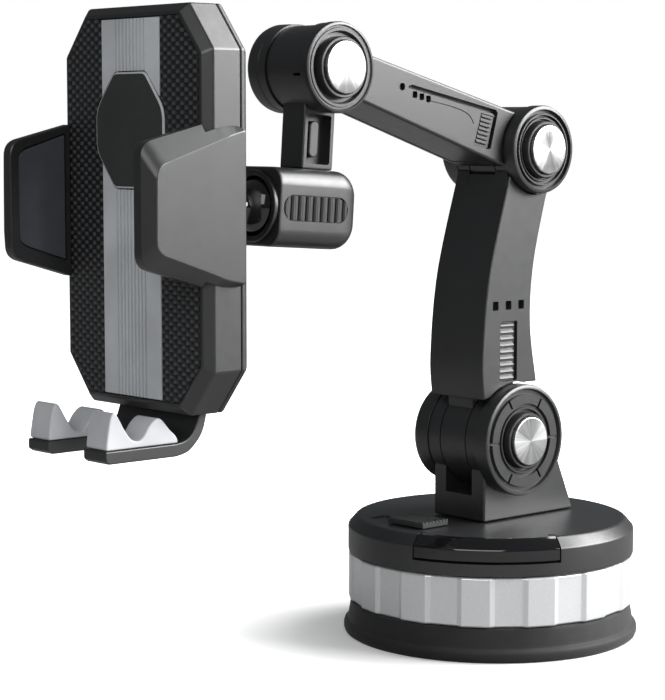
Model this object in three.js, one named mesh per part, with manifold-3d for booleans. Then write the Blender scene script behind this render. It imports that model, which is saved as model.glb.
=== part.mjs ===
// Car phone mount: suction base, swivel turret, two arms on three friction hinges, ball joint and clamp.
// Millimetres, +Z up. The origin is the centre of the suction face. The phone faces -Y and every
// hinge axis lies along X, with the aluminium discs on the +X side.
import * as THREE from "three";
import { mergeVertices } from "three/addons/utils/BufferGeometryUtils.js";
import Module from "manifold-3d";

const wasm = await Module();
wasm.setup();

// ---------- driving dimensions ----------
const GAP = 0.3; // running gap between pieces that move past each other
const FIT = 0.1; // gap between pieces that are fixed to each other
const BASE_ROUND = 32; // sides of the turned pieces of the base
const ROUND = 24; // sides of a hinge drum
const SMALL_ROUND = 16; // sides of a small turned piece

// suction base
const LIP_R = 45;
const PAD_R = 42;
const PAD_H = 1;
const SKIRT_TOP = 9.9;
const RING_BOTTOM = 10.2;
const RING_TOP = 24.9;
const RING_FLAT_R = 43.3;
const RING_LOW_R = 42.6;
const RING_PANELS = 28;
const COVER_BOTTOM = 25.2;
const COVER_R = 43.7;
const SHOULDER_Z = 33.2;
const COVER_TOP = 36.2;
const RIM_R = 40.85;
const COVER_PLATE = 2;
const LEVER_TURN = 42.5; // degrees from -Y towards +X to the middle of the lever
const LEVER_HALF = 29; // degrees
const LEVER_BOTTOM = 29.3;
const LEVER_AXIS = { u: 34.5, z: 35.1 };
const SPIGOT_R = 9;

// hinges: y and z of the axis, radius of the drum and caps, outer faces of the near and far caps
const LOWER = {
  y: -1.33, z: 60.74, drum: 15.3, capR: 16.84, farR: 15.5, face: 15.67, farFace: 17.5, cheek: 10.7,
};
const ELBOW = {
  y: 6.86, z: 147.8, drum: 12.8, capR: 13.14, farR: 13.14, face: 14.6, farFace: 16.9, cheek: 10.2,
};
const WRIST = {
  y: -72.8, z: 170.8, drum: 12.4, capR: 12.6, farR: 12.5, face: 12.1, farFace: 14.6, cheek: 8.9,
};
const DISC_R = 7.25;
const DISC_PROUD = 2.4;
const BOLT_R = 2.5;

// arms
const LOWER_ARM_HALF = 11.25;
const UPPER_ARM_HALF = 10.1;
const TONGUE_HALF = 5.1;
const SLOT_HALF = 5.5;
const ARM_WALL = 2;
const ELBOW_REACH = 13.6; // radius of the hollow that the arms leave round the elbow drum

// neck, barrel and ball
const LEAN = THREE.MathUtils.degToRad(-4);
const NECK_Y = -73.2;
const NECK_EYE_HALF = 5.5;
const NECK_HALF_X = 4.8;
const NECK_HALF_Y = 5.7;
const BARREL = { y0: -91.2, y1: -61.8, z: 131.5, halfX: 10.7, halfZ: 10.95 };
const WINDOW_R = 3.6;
const BALL_R = 8.5;
const BALL = { y: -91.0, z: 132.7 };
const STUD_R = 3.6;

// clamp
const CLAMP_Z = 133.1;
const RIM_HALF_W = 31.3;
const RIM_HALF_H = 52.75;
const CUT_W = 9.7;
const CUT_H = 11.8;
const FRONT_Y = -135.6;
const BACK_Y = -121.7;
const BEVEL_Y = -133.2;
const SPLIT_Y = -124.4;
const CLAMP_WALL = 1.8;
const STRIPE_HALF_W = 12.4;
const PLATE_HALF_W = 14.7;
const PLATE_TOP_HALF = 6.8;
const PLATE_CUT = 9.7;
const PLATE_Z = [138.4, 168.7];
const PINION_R = 6;
const PINION_TEETH = 12;
const RACK_Y = [-131.4, -127.6];
const JAW_IN = 27;
const JAW_OUT = 33.8;
const JAW_EDGE = 30.2;
const HOOK_IN = 7.9;
const HOOK_OUT = 17.4;
const HOOK_Z = [69.4, 72.8];
const HOOK_FRONT = -157.5;

// ---------- materials ----------
function plastic(color, roughness) {
  return new THREE.MeshStandardMaterial({ color, roughness, metalness: 0 });
}
function metal(color, roughness) {
  return new THREE.MeshStandardMaterial({ color, roughness, metalness: 1 });
}
const BLACK = plastic(0x1c1d1f, 0.45);
const GLOSS = plastic(0x0c0c0e, 0.12);
const RUBBER = plastic(0x161617, 0.8);
const SILVER = metal(0xd8d9db, 0.35);
const ALUMINIUM = metal(0xe6e6e8, 0.25);
const STEEL = metal(0x9a9c9f, 0.3);
const GREY = plastic(0x8f9295, 0.45);
const PALE = plastic(0xb9bcbf, 0.5);
const WEAVE = plastic(0x28292b, 0.4);

// ---------- solids ----------
function toSolid(geometry) {
  geometry.deleteAttribute("normal");
  geometry.deleteAttribute("uv");
  const merged = mergeVertices(geometry, 1e-4);
  const vertProperties = merged.attributes.position.array;
  const triVerts = new Uint32Array(merged.index.array);
  const made = new wasm.Manifold(new wasm.Mesh({ numProp: 3, vertProperties, triVerts }));
  if (made.volume() > 0) return made;
  for (let i = 0; i < triVerts.length; i += 3) {
    [triVerts[i + 1], triVerts[i + 2]] = [triVerts[i + 2], triVerts[i + 1]];
  }
  return new wasm.Manifold(new wasm.Mesh({ numProp: 3, vertProperties, triVerts }));
}

function toGeometry(solid) {
  const mesh = solid.getMesh();
  const positions = new Float32Array((mesh.vertProperties.length / mesh.numProp) * 3);
  for (let i = 0; i < positions.length / 3; i++) {
    for (let k = 0; k < 3; k++) positions[3 * i + k] = mesh.vertProperties[mesh.numProp * i + k];
  }
  const geometry = new THREE.BufferGeometry();
  geometry.setAttribute("position", new THREE.BufferAttribute(positions, 3));
  geometry.setIndex(new THREE.BufferAttribute(new Uint32Array(mesh.triVerts), 1));
  geometry.computeVertexNormals();
  return geometry;
}

function join(...solids) {
  return solids.reduce((sum, next) => sum.add(next));
}

function cut(solid, ...tools) {
  return tools.reduce((rest, tool) => rest.subtract(tool), solid);
}

function moved(geometry, x, y, z) {
  return geometry.translate(x, y, z);
}

function box(x0, x1, y0, y1, z0, z1) {
  const geometry = new THREE.BoxGeometry(x1 - x0, y1 - y0, z1 - z0);
  return toSolid(moved(geometry, (x0 + x1) / 2, (y0 + y1) / 2, (z0 + z1) / 2));
}

// A turned piece. The profile is a closed list of [radius, height] points, or starts and ends on the axis.
function turned(profile, sides) {
  const points = profile.map(([r, h]) => new THREE.Vector2(r, h));
  const open = profile[0][0] > 0 || profile[profile.length - 1][0] > 0;
  if (open) points.push(points[0].clone());
  return new THREE.LatheGeometry(points, sides);
}

function turnedZ(profile, sides = BASE_ROUND) {
  return toSolid(turned(profile, sides).rotateX(Math.PI / 2));
}

// Turned about a line along X through (y, z). Heights in the profile are X.
function turnedX(profile, y, z, sides = ROUND) {
  return toSolid(moved(turned(profile, sides).rotateZ(-Math.PI / 2), 0, y, z));
}

// Turned about a line along Y through (x, z). Heights in the profile are Y.
function turnedY(profile, x, z, sides = SMALL_ROUND) {
  return toSolid(moved(turned(profile, sides), x, 0, z));
}

function tubeX(r0, r1, x0, x1, y, z, sides = ROUND) {
  const profile = r0 > 0
    ? [[r0, x0], [r1, x0], [r1, x1], [r0, x1]]
    : [[0, x0], [r1, x0], [r1, x1], [0, x1]];
  return turnedX(profile, y, z, sides);
}

function tubeY(r0, r1, y0, y1, x, z, sides = SMALL_ROUND) {
  const profile = r0 > 0
    ? [[r0, y0], [r1, y0], [r1, y1], [r0, y1]]
    : [[0, y0], [r1, y0], [r1, y1], [0, y1]];
  return turnedY(profile, x, z, sides);
}

function outline(points) {
  return new THREE.Shape(points.map(([a, b]) => new THREE.Vector2(a, b)));
}

// A prism of length `length` whose bevels stay inside the outline.
function prism(shape, length, bevel) {
  const settings = { depth: length, bevelEnabled: false, curveSegments: 5 };
  if (bevel > 0) {
    settings.depth = length - 2 * bevel;
    settings.bevelEnabled = true;
    settings.bevelThickness = bevel;
    settings.bevelSize = bevel;
    settings.bevelOffset = -bevel;
    settings.bevelSegments = 1;
  }
  return new THREE.ExtrudeGeometry(shape, settings).translate(0, 0, bevel);
}

// Outline in (Y, Z), extruded along X.
function prismX(shape, x0, x1, bevel = 0) {
  const turn = new THREE.Matrix4().set(0, 0, 1, 0, 1, 0, 0, 0, 0, 1, 0, 0, 0, 0, 0, 1);
  return toSolid(moved(prism(shape, x1 - x0, bevel).applyMatrix4(turn), x0, 0, 0));
}

// Outline in (X, Z), extruded along Y.
function prismY(shape, y0, y1, bevel = 0) {
  const geometry = prism(shape, y1 - y0, bevel).rotateX(Math.PI / 2);
  return toSolid(moved(geometry, 0, y1, 0));
}

// Outline in (X, Y), extruded along Z.
function prismZ(shape, z0, z1, bevel = 0) {
  return toSolid(moved(prism(shape, z1 - z0, bevel), 0, 0, z0));
}

// A solid between two outlines with the same number of points, both listed the same way round.
function loft(near, far) {
  const n = near.length;
  const faces = [];
  for (let i = 1; i < n - 1; i++) faces.push(0, i + 1, i, n, n + i, n + i + 1);
  for (let i = 0; i < n; i++) {
    const j = (i + 1) % n;
    faces.push(i, j, n + j, i, n + j, n + i);
  }
  const geometry = new THREE.BufferGeometry();
  geometry.setAttribute("position", new THREE.Float32BufferAttribute([...near, ...far].flat(), 3));
  geometry.setIndex(faces);
  return toSolid(geometry);
}

// An upright octagon in (X, Z) round the clamp's centre, shrunk by `inset` on every side.
function octagon(inset, y) {
  const w = RIM_HALF_W - inset;
  const h = RIM_HALF_H - inset;
  const a = CUT_W - 0.35 * inset;
  const b = CUT_H - 0.45 * inset;
  const quarter = [[w, h - b], [w - a, h]];
  const points = [...quarter, ...quarter.map(([x, z]) => [-x, z]).reverse()];
  const lower = points.map(([x, z]) => [-x, -z]);
  return [...points, ...lower].map(([x, z]) => (y === undefined ? [x, z + CLAMP_Z] : [x, y, z + CLAMP_Z]));
}

function roundedBox(halfW, halfH, radius) {
  const shape = new THREE.Shape();
  shape.moveTo(halfW, -halfH + radius);
  shape.lineTo(halfW, halfH - radius);
  shape.absarc(halfW - radius, halfH - radius, radius, 0, Math.PI / 2);
  shape.absarc(-halfW + radius, halfH - radius, radius, Math.PI / 2, Math.PI);
  shape.absarc(-halfW + radius, -halfH + radius, radius, Math.PI, 1.5 * Math.PI);
  shape.absarc(halfW - radius, -halfH + radius, radius, 1.5 * Math.PI, 2 * Math.PI);
  return shape;
}

// A wire coil along Z, as one closed tube.
class Coil extends THREE.Curve {
  constructor(radius, height, turns) {
    super();
    this.radius = radius;
    this.height = height;
    this.turns = turns;
  }
  getPoint(t, target = new THREE.Vector3()) {
    const angle = t * this.turns * 2 * Math.PI;
    return target.set(this.radius * Math.cos(angle), this.radius * Math.sin(angle), t * this.height);
  }
}

function coil(radius, height, turns, wire) {
  const shape = new THREE.Shape().absarc(0, 0, wire, 0, 2 * Math.PI);
  const path = new Coil(radius, height, turns);
  const settings = { steps: turns * 10, extrudePath: path, bevelEnabled: false, curveSegments: 3 };
  return new THREE.ExtrudeGeometry(shape, settings);
}

// ---------- scene graph ----------
const mount = new THREE.Group();

function add(name, solid, material, parent = mount) {
  const mesh = new THREE.Mesh(toGeometry(solid), material);
  mesh.name = name;
  parent.add(mesh);
}

// ---------- suction base ----------
function wedge(halfDegrees, z0, z1) {
  const reach = 80;
  const points = [[0, 0]];
  for (const side of [-1, 0, 1]) {
    const a = THREE.MathUtils.degToRad(LEVER_TURN + side * halfDegrees);
    points.push([reach * Math.sin(a), -reach * Math.cos(a)]);
  }
  return prismZ(outline(points), z0, z1);
}

// Takes a solid drawn with its radial direction along +Y round to the lever's direction.
function towardsLever(solid) {
  return solid.rotate([0, 0, LEVER_TURN + 180]);
}

function suctionCup() {
  return turnedZ([
    [0, PAD_H + 0.2], [PAD_R + 0.2, PAD_H + 0.2], [PAD_R + 0.2, 0], [LIP_R - 1, 0], [LIP_R, 1.2],
    [LIP_R, 3.4], [43.3, 4.9], [43, SKIRT_TOP], [41, SKIRT_TOP], [41, 4.6], [9.5, 4.6],
    [9.5, 8.6], [3.4, 8.6], [3.4, 7.3], [6.5, 7.3], [6.5, 2.4], [0, 2.4],
  ]);
}

function baseHousing() {
  return turnedZ([
    [40.5, 5], [40.5, 25], [38.4, 25], [38.4, 11], [6, 11], [6, 17], [3.2, 17], [3.2, 9],
    [38.4, 9], [38.4, 5],
  ]);
}

// Flat panels stand proud and sunk in turn, with a sloping rib between neighbours.
function gripRing() {
  const points = [];
  const half = Math.PI / RING_PANELS;
  const rib = 0.016;
  for (let i = 0; i < RING_PANELS; i++) {
    const r = (i % 2 ? RING_FLAT_R : RING_LOW_R) / Math.cos(half);
    for (const a of [2 * i * half - half + rib, 2 * i * half + half - rib]) {
      points.push([r * Math.sin(a), -r * Math.cos(a)]);
    }
  }
  const bore = turnedZ([[0, 0], [40.8, 0], [40.8, 40], [0, 40]]);
  return cut(prismZ(outline(points), RING_BOTTOM, RING_TOP), bore);
}

function topCover() {
  const under = COVER_TOP - COVER_PLATE;
  const body = turnedZ([
    [39, COVER_BOTTOM], [43.2, COVER_BOTTOM], [COVER_R, 25.8], [COVER_R, SHOULDER_Z], [41.2, 35.85],
    [RIM_R, COVER_TOP], [SPIGOT_R + GAP, COVER_TOP], [SPIGOT_R + GAP, under], [38, under], [39, 32.6],
  ]);
  const recess = turnedZ([
    [40.9, LEVER_BOTTOM - 0.4], [46, LEVER_BOTTOM - 0.4], [46, 38], [39.9, 38], [39.9, 34.6], [40.9, 33],
  ]).intersect(wedge(LEVER_HALF + 0.6, 20, 40));
  const tailSlot = towardsLever(box(-3.5, 3.5, 36, 42, 28.9, 34.6));
  const tools = [recess, tailSlot, box(-9.4, 0.3, -31.3, -27.7, 30, 40)];
  for (const side of [-1, 1]) {
    const [v0, v1] = side > 0 ? [17.5, 19.9] : [-19.9, -17.5];
    tools.push(towardsLever(box(v0, v1, 32.8, 38.5, 34, 38)));
    const [p0, p1] = side > 0 ? [19, 21.4] : [-21.4, -19];
    const pin = tubeX(0, 0.75, p0, p1, LEVER_AXIS.u, LEVER_AXIS.z, 12);
    tools.push(towardsLever(pin));
  }
  return cut(body, ...tools);
}

function lockLever() {
  const shell = turnedZ([
    [41.3, LEVER_BOTTOM], [COVER_R, LEVER_BOTTOM], [COVER_R, SHOULDER_Z], [41.2, 35.85], [RIM_R, COVER_TOP],
    [40.3, COVER_TOP], [40.3, 34.9], [41.3, 33.2],
  ]).intersect(wedge(LEVER_HALF, 20, 40));
  const tail = box(-3, 3, 28.5, 42, 29.5, 31);
  const parts = [shell, towardsLever(tail)];
  for (const side of [-1, 1]) {
    const [v0, v1] = side > 0 ? [17.9, 19.5] : [-19.5, -17.9];
    parts.push(towardsLever(box(v0, v1, 33.6, 37.6, 34.4, COVER_TOP)));
    const [p0, p1] = side > 0 ? [19, 21] : [-21, -19];
    const pin = tubeX(0, 0.6, p0, p1, LEVER_AXIS.u, LEVER_AXIS.z, 12);
    parts.push(towardsLever(pin));
  }
  return join(...parts);
}

function pullRod() {
  const rod = turnedZ([
    [0, 5.7], [6.1, 5.7], [6.1, 7], [2.6, 7], [2.6, 22], [5.5, 22], [5.5, 25.5], [0, 25.5],
  ], SMALL_ROUND);
  const arm = join(
    box(-3, 3, 2, 23, 23.5, 25.5),
    box(-3, 3, 21, 23, 23.5, 32.8),
    box(-3, 3, 21, 29.5, 31.2, 32.8),
  );
  return join(rod, towardsLever(arm));
}

function lockSlider() {
  const block = prismY(outline([[-9, 36.45], [6.1, 36.45], [6.1, 38.3], [-9, 38.1]]), -34.9, -24.3);
  const stem = box(-6, -0.2, -31, -28, 33.9, 37);
  const grooves = [];
  for (let i = 0; i < 5; i++) {
    const y = -33.6 + i * 2;
    grooves.push(box(3.6, 7, y - 0.45, y + 0.45, 37.7, 39));
  }
  return cut(join(block, stem), ...grooves);
}

function lockKeeper() {
  return join(box(-10, 3, -34, -23, 31.8, 33.8), box(-6, 0, -24, -18, 31.8, 33.8));
}

function addBase() {
  add("suction_cup", suctionCup(), RUBBER);
  add("gel_pad", turnedZ([[0, 0], [PAD_R, 0], [PAD_R, PAD_H], [0, PAD_H]]), RUBBER);
  add("base_housing", baseHousing(), BLACK);
  add("grip_ring", gripRing(), SILVER);
  add("top_cover", topCover(), BLACK);
  add("lock_lever", lockLever(), GLOSS);
  add("pull_rod", pullRod(), STEEL);
  add("lock_slider", lockSlider(), BLACK);
  add("lock_keeper", lockKeeper(), BLACK);
}

// ---------- hinges ----------
// Near cap on +X with a stepped face, far cap on -X that the bolt screws into, and the spun disc.
function addHinge(name, h) {
  const bezelR = DISC_R + 1.1;
  const seat = h.face + 0.2;
  const nearCap = turnedX([
    [BOLT_R + 0.2, h.cheek + FIT], [h.capR, h.cheek + FIT], [h.capR, h.face - 0.5], [h.capR - 0.5, h.face],
    [h.capR - 1.5, h.face], [h.capR - 1.7, h.face - 0.9], [bezelR + 0.4, h.face - 0.9],
    [bezelR, h.face + 1.3], [DISC_R + FIT, h.face + 1.3], [DISC_R + FIT, seat], [5.3, seat],
    [5.3, seat - 2], [BOLT_R + 0.2, seat - 2],
  ], h.y, h.z);
  const out = -h.farFace;
  const farCap = turnedX([
    [0, out], [h.farR - 2.2, out], [h.farR - 0.6, out + 0.6], [h.farR, out + 2.2],
    [h.farR, -h.cheek - FIT], [BOLT_R + 0.2, -h.cheek - FIT], [BOLT_R + 0.2, out + 2], [0, out + 2],
  ], h.y, h.z);
  const bolt = turnedX([
    [0, out + 2.3], [BOLT_R, out + 2.3], [BOLT_R, seat - 1.9], [5, seat - 1.9], [5, seat - 0.2],
    [0, seat - 0.2],
  ], h.y, h.z, SMALL_ROUND);
  const disc = turnedX([
    [0, seat + FIT], [DISC_R, seat + FIT], [DISC_R, h.face + DISC_PROUD - 0.4],
    [DISC_R - 0.4, h.face + DISC_PROUD], [0, h.face + DISC_PROUD],
  ], h.y, h.z);
  add(name + "_near_cap", nearCap, BLACK);
  add(name + "_far_cap", farCap, BLACK);
  add(name + "_bolt", bolt, STEEL);
  add(name + "_disc", disc, ALUMINIUM);
}

function hub(h, x0, x1, radius = h.drum) {
  return tubeX(0, radius, x0, x1, h.y, h.z);
}

function boltHole(h) {
  return tubeX(0, BOLT_R + 0.3, -30, 30, h.y, h.z, SMALL_ROUND);
}

// ---------- turret ----------
function turret() {
  const bottom = COVER_TOP + 0.25;
  const side = outline([
    [-13.8, bottom], [25.9, bottom], [12.6, 66.8], [LOWER.y, LOWER.z], [-13.8, 53],
  ]);
  const body = join(
    prismX(side, -LOWER.cheek, LOWER.cheek, 0.5),
    hub(LOWER, -LOWER.cheek, LOWER.cheek),
    turnedZ([[0, 31.4], [6, 31.4], [6, 34], [SPIGOT_R, 34], [SPIGOT_R, 40], [0, 40]], SMALL_ROUND),
  );
  const notch = box(-SLOT_HALF, SLOT_HALF, -30, 40, 44.1, 90);
  return cut(body, notch, boltHole(LOWER));
}

function swivelDisc() {
  return turnedZ([[6.2, 31.6], [17, 31.6], [17, 33.9], [6.2, 33.9]], SMALL_ROUND);
}

// ---------- lower arm ----------
function spline(points, count) {
  const curve = new THREE.CatmullRomCurve3(points.map(([y, z]) => new THREE.Vector3(0, y, z)));
  return curve.getPoints(count).map((p) => [p.y, p.z]);
}

const LOWER_ARM_FRONT = spline([[-4, 140.2], [-12.6, 110.6], [-15.4, 86], [-14.6, 73.4]], 10);
const LOWER_ARM_BACK = spline([[8.2, 77.6], [5.3, 95.4], [6.6, 114], [12.4, 136]], 10);

// Points along an edge at even heights from z0 to z1, moved by `shift` along Y.
function edgeBetween(edge, z0, z1, shift) {
  const rising = edge[0][1] < edge[1][1] ? edge : [...edge].reverse();
  const points = [];
  for (let i = 0; i <= 5; i++) {
    const z = z0 + ((z1 - z0) * i) / 5;
    const next = rising.findIndex((p) => p[1] >= z);
    const [[ya, za], [yb, zb]] = [rising[next - 1], rising[next]];
    points.push([ya + ((yb - ya) * (z - za)) / (zb - za) + shift, z]);
  }
  return points;
}

function ventPocket(depth) {
  return [-8, -0.6, 78.6, 96.6, LOWER_ARM_HALF - depth];
}

function lowerArmShell() {
  const side = outline([...LOWER_ARM_FRONT, [3.9, 77.7], ...LOWER_ARM_BACK, [14, 142], [ELBOW.y, ELBOW.z]]);
  const tongue = outline([[-13.6, 78], [-12.5, LOWER.z], [10, LOWER.z], [3.9, 78]]);
  const cavity = outline([
    ...edgeBetween(LOWER_ARM_FRONT, 84, 127, ARM_WALL),
    ...edgeBetween(LOWER_ARM_BACK, 84, 127, 4).reverse(),
  ]);
  const [y0, y1, z0, z1, x] = ventPocket(1);
  const body = cut(
    prismX(side, -LOWER_ARM_HALF, LOWER_ARM_HALF, 1.4),
    tubeX(0, 17.4, TONGUE_HALF + 0.35, 20, LOWER.y, LOWER.z),
    tubeX(0, 17.4, -20, -TONGUE_HALF - 0.35, LOWER.y, LOWER.z),
    hub(ELBOW, -20, 20, ELBOW_REACH),
    prismX(cavity, -LOWER_ARM_HALF + ARM_WALL, LOWER_ARM_HALF - ARM_WALL),
  );
  const cheeks = [-1, 1].map((s) => {
    const [x0, x1] = s > 0 ? [SLOT_HALF, ELBOW.cheek] : [-ELBOW.cheek, -SLOT_HALF];
    const neck = outline([[-5.4, 136], [-4.6, 141.3], [ELBOW.y, ELBOW.z], [14.2, 139.5], [12.8, 134]]);
    return join(hub(ELBOW, x0, x1), prismX(neck, x0, x1));
  });
  // closes the front of the slot, just under the sweep of the upper arm's tongue
  const lip = cut(
    prismX(outline([[-5.6, 135], [-4.6, 140.4], [-2, 140.4], [2, 135]]), -SLOT_HALF - 0.2, SLOT_HALF + 0.2),
    hub(ELBOW, -20, 20, ELBOW.drum + GAP),
  );
  const eye = join(hub(LOWER, -TONGUE_HALF, TONGUE_HALF), prismX(tongue, -TONGUE_HALF, TONGUE_HALF));
  const tools = [boltHole(LOWER), boltHole(ELBOW)];
  for (const s of [-1, 1]) {
    tools.push(box(...(s > 0 ? [x, 20] : [-20, -x]), y0, y1, z0, z1));
    for (const hole of [-10, -4.5, 1]) {
      const span = s > 0 ? [x + 0.2, 20] : [-20, -x - 0.2];
      tools.push(box(...span, hole - 1.1, hole + 1.1, 100.2, 102.6));
    }
  }
  return cut(join(body, ...cheeks, lip, eye), ...tools);
}

function lowerArmBackCover() {
  const outer = edgeBetween(LOWER_ARM_BACK, 84.2, 126.8, -0.1);
  const inner = edgeBetween(LOWER_ARM_BACK, 84.2, 126.8, -1.6).reverse();
  const half = LOWER_ARM_HALF - ARM_WALL - 0.15;
  return prismX(outline([...outer, ...inner]), -half, half);
}

// A thin plate with raised horizontal ribs.
function lowerArmVent(side) {
  const [y0, y1, z0, z1, x] = ventPocket(1);
  const plate = box(x + FIT, x + 0.5, y0 + 0.15, y1 - 0.15, z0 + 0.15, z1 - 0.15);
  const ribs = [];
  for (let i = 0; i < 9; i++) {
    const z = z0 + 1 + i * 2;
    ribs.push(box(x + 0.4, x + 1, y0 + 0.5, y1 - 1.4, z - 0.55, z + 0.55));
  }
  const vent = join(plate, ...ribs);
  return side > 0 ? vent : mirroredX(vent);
}

// ---------- upper arm ----------
function topEdge(y) {
  return 174.2 - 0.2646 * (y + 58.3);
}

function underEdge(y) {
  return 160 - 0.327 * (y + 58.3);
}

function armBand(y0, y1, top, under) {
  return outline([[y0, top(y0)], [y0, under(y0)], [y1, under(y1)], [y1, top(y1)]]);
}

function upperArmShell() {
  const body = cut(
    prismX(armBand(WRIST.y, 3, topEdge, underEdge), -UPPER_ARM_HALF, UPPER_ARM_HALF, 1),
    hub(ELBOW, -20, 20, ELBOW_REACH),
    hub(WRIST, -20, 20, WRIST.capR + 0.3),
  );
  const inner = armBand(-57, -9.5, (y) => topEdge(y) - 3, (y) => underEdge(y) - 3);
  const stripRoom = armBand(-57.2, -8, (y) => topEdge(y) + 2, (y) => topEdge(y) - 1);
  const drums = [-1, 1].map((s) => {
    const [x0, x1] = s > 0 ? [NECK_EYE_HALF + 0.5, WRIST.cheek] : [-WRIST.cheek, -NECK_EYE_HALF - 0.5];
    const root = armBand(WRIST.y, -58, (y) => topEdge(y) - 1, (y) => underEdge(y) + 1);
    return join(hub(WRIST, x0, x1), prismX(root, x0, x1));
  });
  const tongue = join(
    hub(ELBOW, -TONGUE_HALF, TONGUE_HALF),
    prismX(armBand(-9, ELBOW.y, (y) => topEdge(y) - 1, (y) => underEdge(y) + 1), -TONGUE_HALF, TONGUE_HALF),
  );
  const hollow = prismX(inner, -UPPER_ARM_HALF + ARM_WALL, UPPER_ARM_HALF - ARM_WALL);
  const tools = [
    prismX(stripRoom, -6.2, 6.2),
    hub(WRIST, -NECK_EYE_HALF - 0.5, NECK_EYE_HALF + 0.5, WRIST.drum + GAP),
    boltHole(ELBOW),
    boltHole(WRIST),
  ];
  for (const s of [-1, 1]) {
    const span = s > 0 ? [UPPER_ARM_HALF - 1, 20] : [-20, -UPPER_ARM_HALF + 1];
    tools.push(prismX(upperVentOutline(0), ...span));
  }
  return cut(join(cut(body, hollow), ...drums, tongue), ...tools);
}

function upperVentOutline(inset) {
  return outline([
    [-18.6 + inset, 149.2 + inset], [-12.2 - inset, 147.9 + inset],
    [-9.4 - inset, 157.4 - inset], [-15.6 + inset, 158.6 - inset],
  ]);
}

function upperArmVent(side) {
  const x = UPPER_ARM_HALF - 1 + FIT;
  const parts = [prismX(upperVentOutline(0.15), x, x + 0.4)];
  for (let i = 0; i < 7; i++) {
    const z = 150.4 + i * 1.2;
    const y = -18 + (z - 149.2) * 0.31;
    parts.push(prismX(outline([[y, z], [y + 5, z - 1], [y + 5, z - 0.4], [y, z + 0.6]]), x + 0.3, x + 0.9));
  }
  const vent = join(...parts);
  return side > 0 ? vent : mirroredX(vent);
}

function upperArmTopStrip() {
  const strip = prismX(armBand(-57, -8.2, topEdge, (y) => topEdge(y) - 0.9), -6, 6);
  const grooves = [-1, 1].map((s) => {
    const room = armBand(-60, -5, (y) => topEdge(y) + 1, (y) => topEdge(y) - 0.35);
    return prismX(room, s * 4 - 0.4, s * 4 + 0.4);
  });
  return cut(strip, ...grooves);
}

function upperArmUnderCover() {
  const band = armBand(-56.8, -9.7, (y) => underEdge(y) + 1.5, (y) => underEdge(y) + 0.1);
  return prismX(band, -UPPER_ARM_HALF + ARM_WALL + 0.15, UPPER_ARM_HALF - ARM_WALL - 0.15);
}

// ---------- neck, barrel and ball ----------
const wristGroup = new THREE.Group();
wristGroup.position.set(0, WRIST.y, WRIST.z);
wristGroup.rotation.x = LEAN;
const neckGroup = new THREE.Group();
neckGroup.position.set(0, -WRIST.y, -WRIST.z);
wristGroup.add(neckGroup);
mount.add(wristGroup);

function neckBar() {
  const [y0, y1] = [NECK_Y - NECK_HALF_Y, NECK_Y + NECK_HALF_Y];
  const top = BARREL.z + BARREL.halfZ;
  const bar = join(
    hub(WRIST, -NECK_EYE_HALF, NECK_EYE_HALF, WRIST.drum - 0.5),
    box(-NECK_HALF_X, NECK_HALF_X, y0, y1, top + FIT, WRIST.z),
  );
  const tools = [boltHole(WRIST)];
  for (const s of [-1, 1]) {
    const span = s > 0 ? [1.6, 9] : [-9, -1.6];
    tools.push(box(...span, y0 + 1.4, y1 - 1.4, top + 1.6, WRIST.z - 13));
  }
  const pad = box(-3.6, 3.6, y0 + 2.8, y1 - 3.8, top + 3.2, WRIST.z - 15);
  return join(cut(bar, ...tools), pad);
}

function barrel() {
  const section = moved(prism(roundedBox(BARREL.halfX, BARREL.halfZ, 5), BARREL.y1 - BARREL.y0, 0.6)
    .rotateX(Math.PI / 2), 0, BARREL.y1, BARREL.z);
  const rear = 7;
  const side = new THREE.Shape();
  side.moveTo(BARREL.y0, BARREL.z - 12);
  side.lineTo(BARREL.y1 - rear, BARREL.z - BARREL.halfZ);
  side.absarc(BARREL.y1 - rear, BARREL.z - BARREL.halfZ + rear, rear, -Math.PI / 2, 0);
  side.absarc(BARREL.y1 - rear, BARREL.z + BARREL.halfZ - rear, rear, 0, Math.PI / 2);
  side.lineTo(BARREL.y0, BARREL.z + 12);
  const ballY = BARREL.y0 + 2.9;
  const bore = turnedY([
    [0, BARREL.y1 - 2.5], [9.3, BARREL.y1 - 4], [9.3, ballY + 0.5], [BALL_R + 0.35, ballY],
    [BALL_R + 0.25, ballY - 1.2], [8.35, BARREL.y0], [8.35, BARREL.y0 - 1], [0, BARREL.y0 - 1],
  ], 0, BARREL.z, ROUND);
  const windows = [-1, 1].map((s) => {
    const span = s > 0 ? [BARREL.halfX - 0.8, 20] : [-20, -BARREL.halfX + 0.8];
    return prismX(windowOutline(0), ...span);
  });
  return cut(toSolid(section).intersect(prismX(side, -20, 20)), bore, ...windows);
}

function windowOutline(inset) {
  const r = WINDOW_R - inset;
  const [y0, y1] = [BARREL.y0 + WINDOW_R + 1.4, BARREL.y1 - WINDOW_R - 4.4];
  const shape = new THREE.Shape();
  shape.moveTo(y0, BARREL.z - r);
  shape.absarc(y1, BARREL.z, r, -Math.PI / 2, Math.PI / 2);
  shape.absarc(y0, BARREL.z, r, Math.PI / 2, 1.5 * Math.PI);
  return shape;
}

function barrelGrille(side) {
  const x = BARREL.halfX - 0.8 + FIT;
  const parts = [prismX(windowOutline(0.2), x, x + 0.3)];
  for (let i = 0; i < 8; i++) {
    const y = BARREL.y0 + 3.8 + i * 2.7;
    parts.push(box(x + 0.2, x + 0.7, y - 0.8, y + 0.8, BARREL.z - 2.2, BARREL.z + 2.2));
  }
  const grille = join(...parts);
  return side > 0 ? grille : mirroredX(grille);
}

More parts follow.
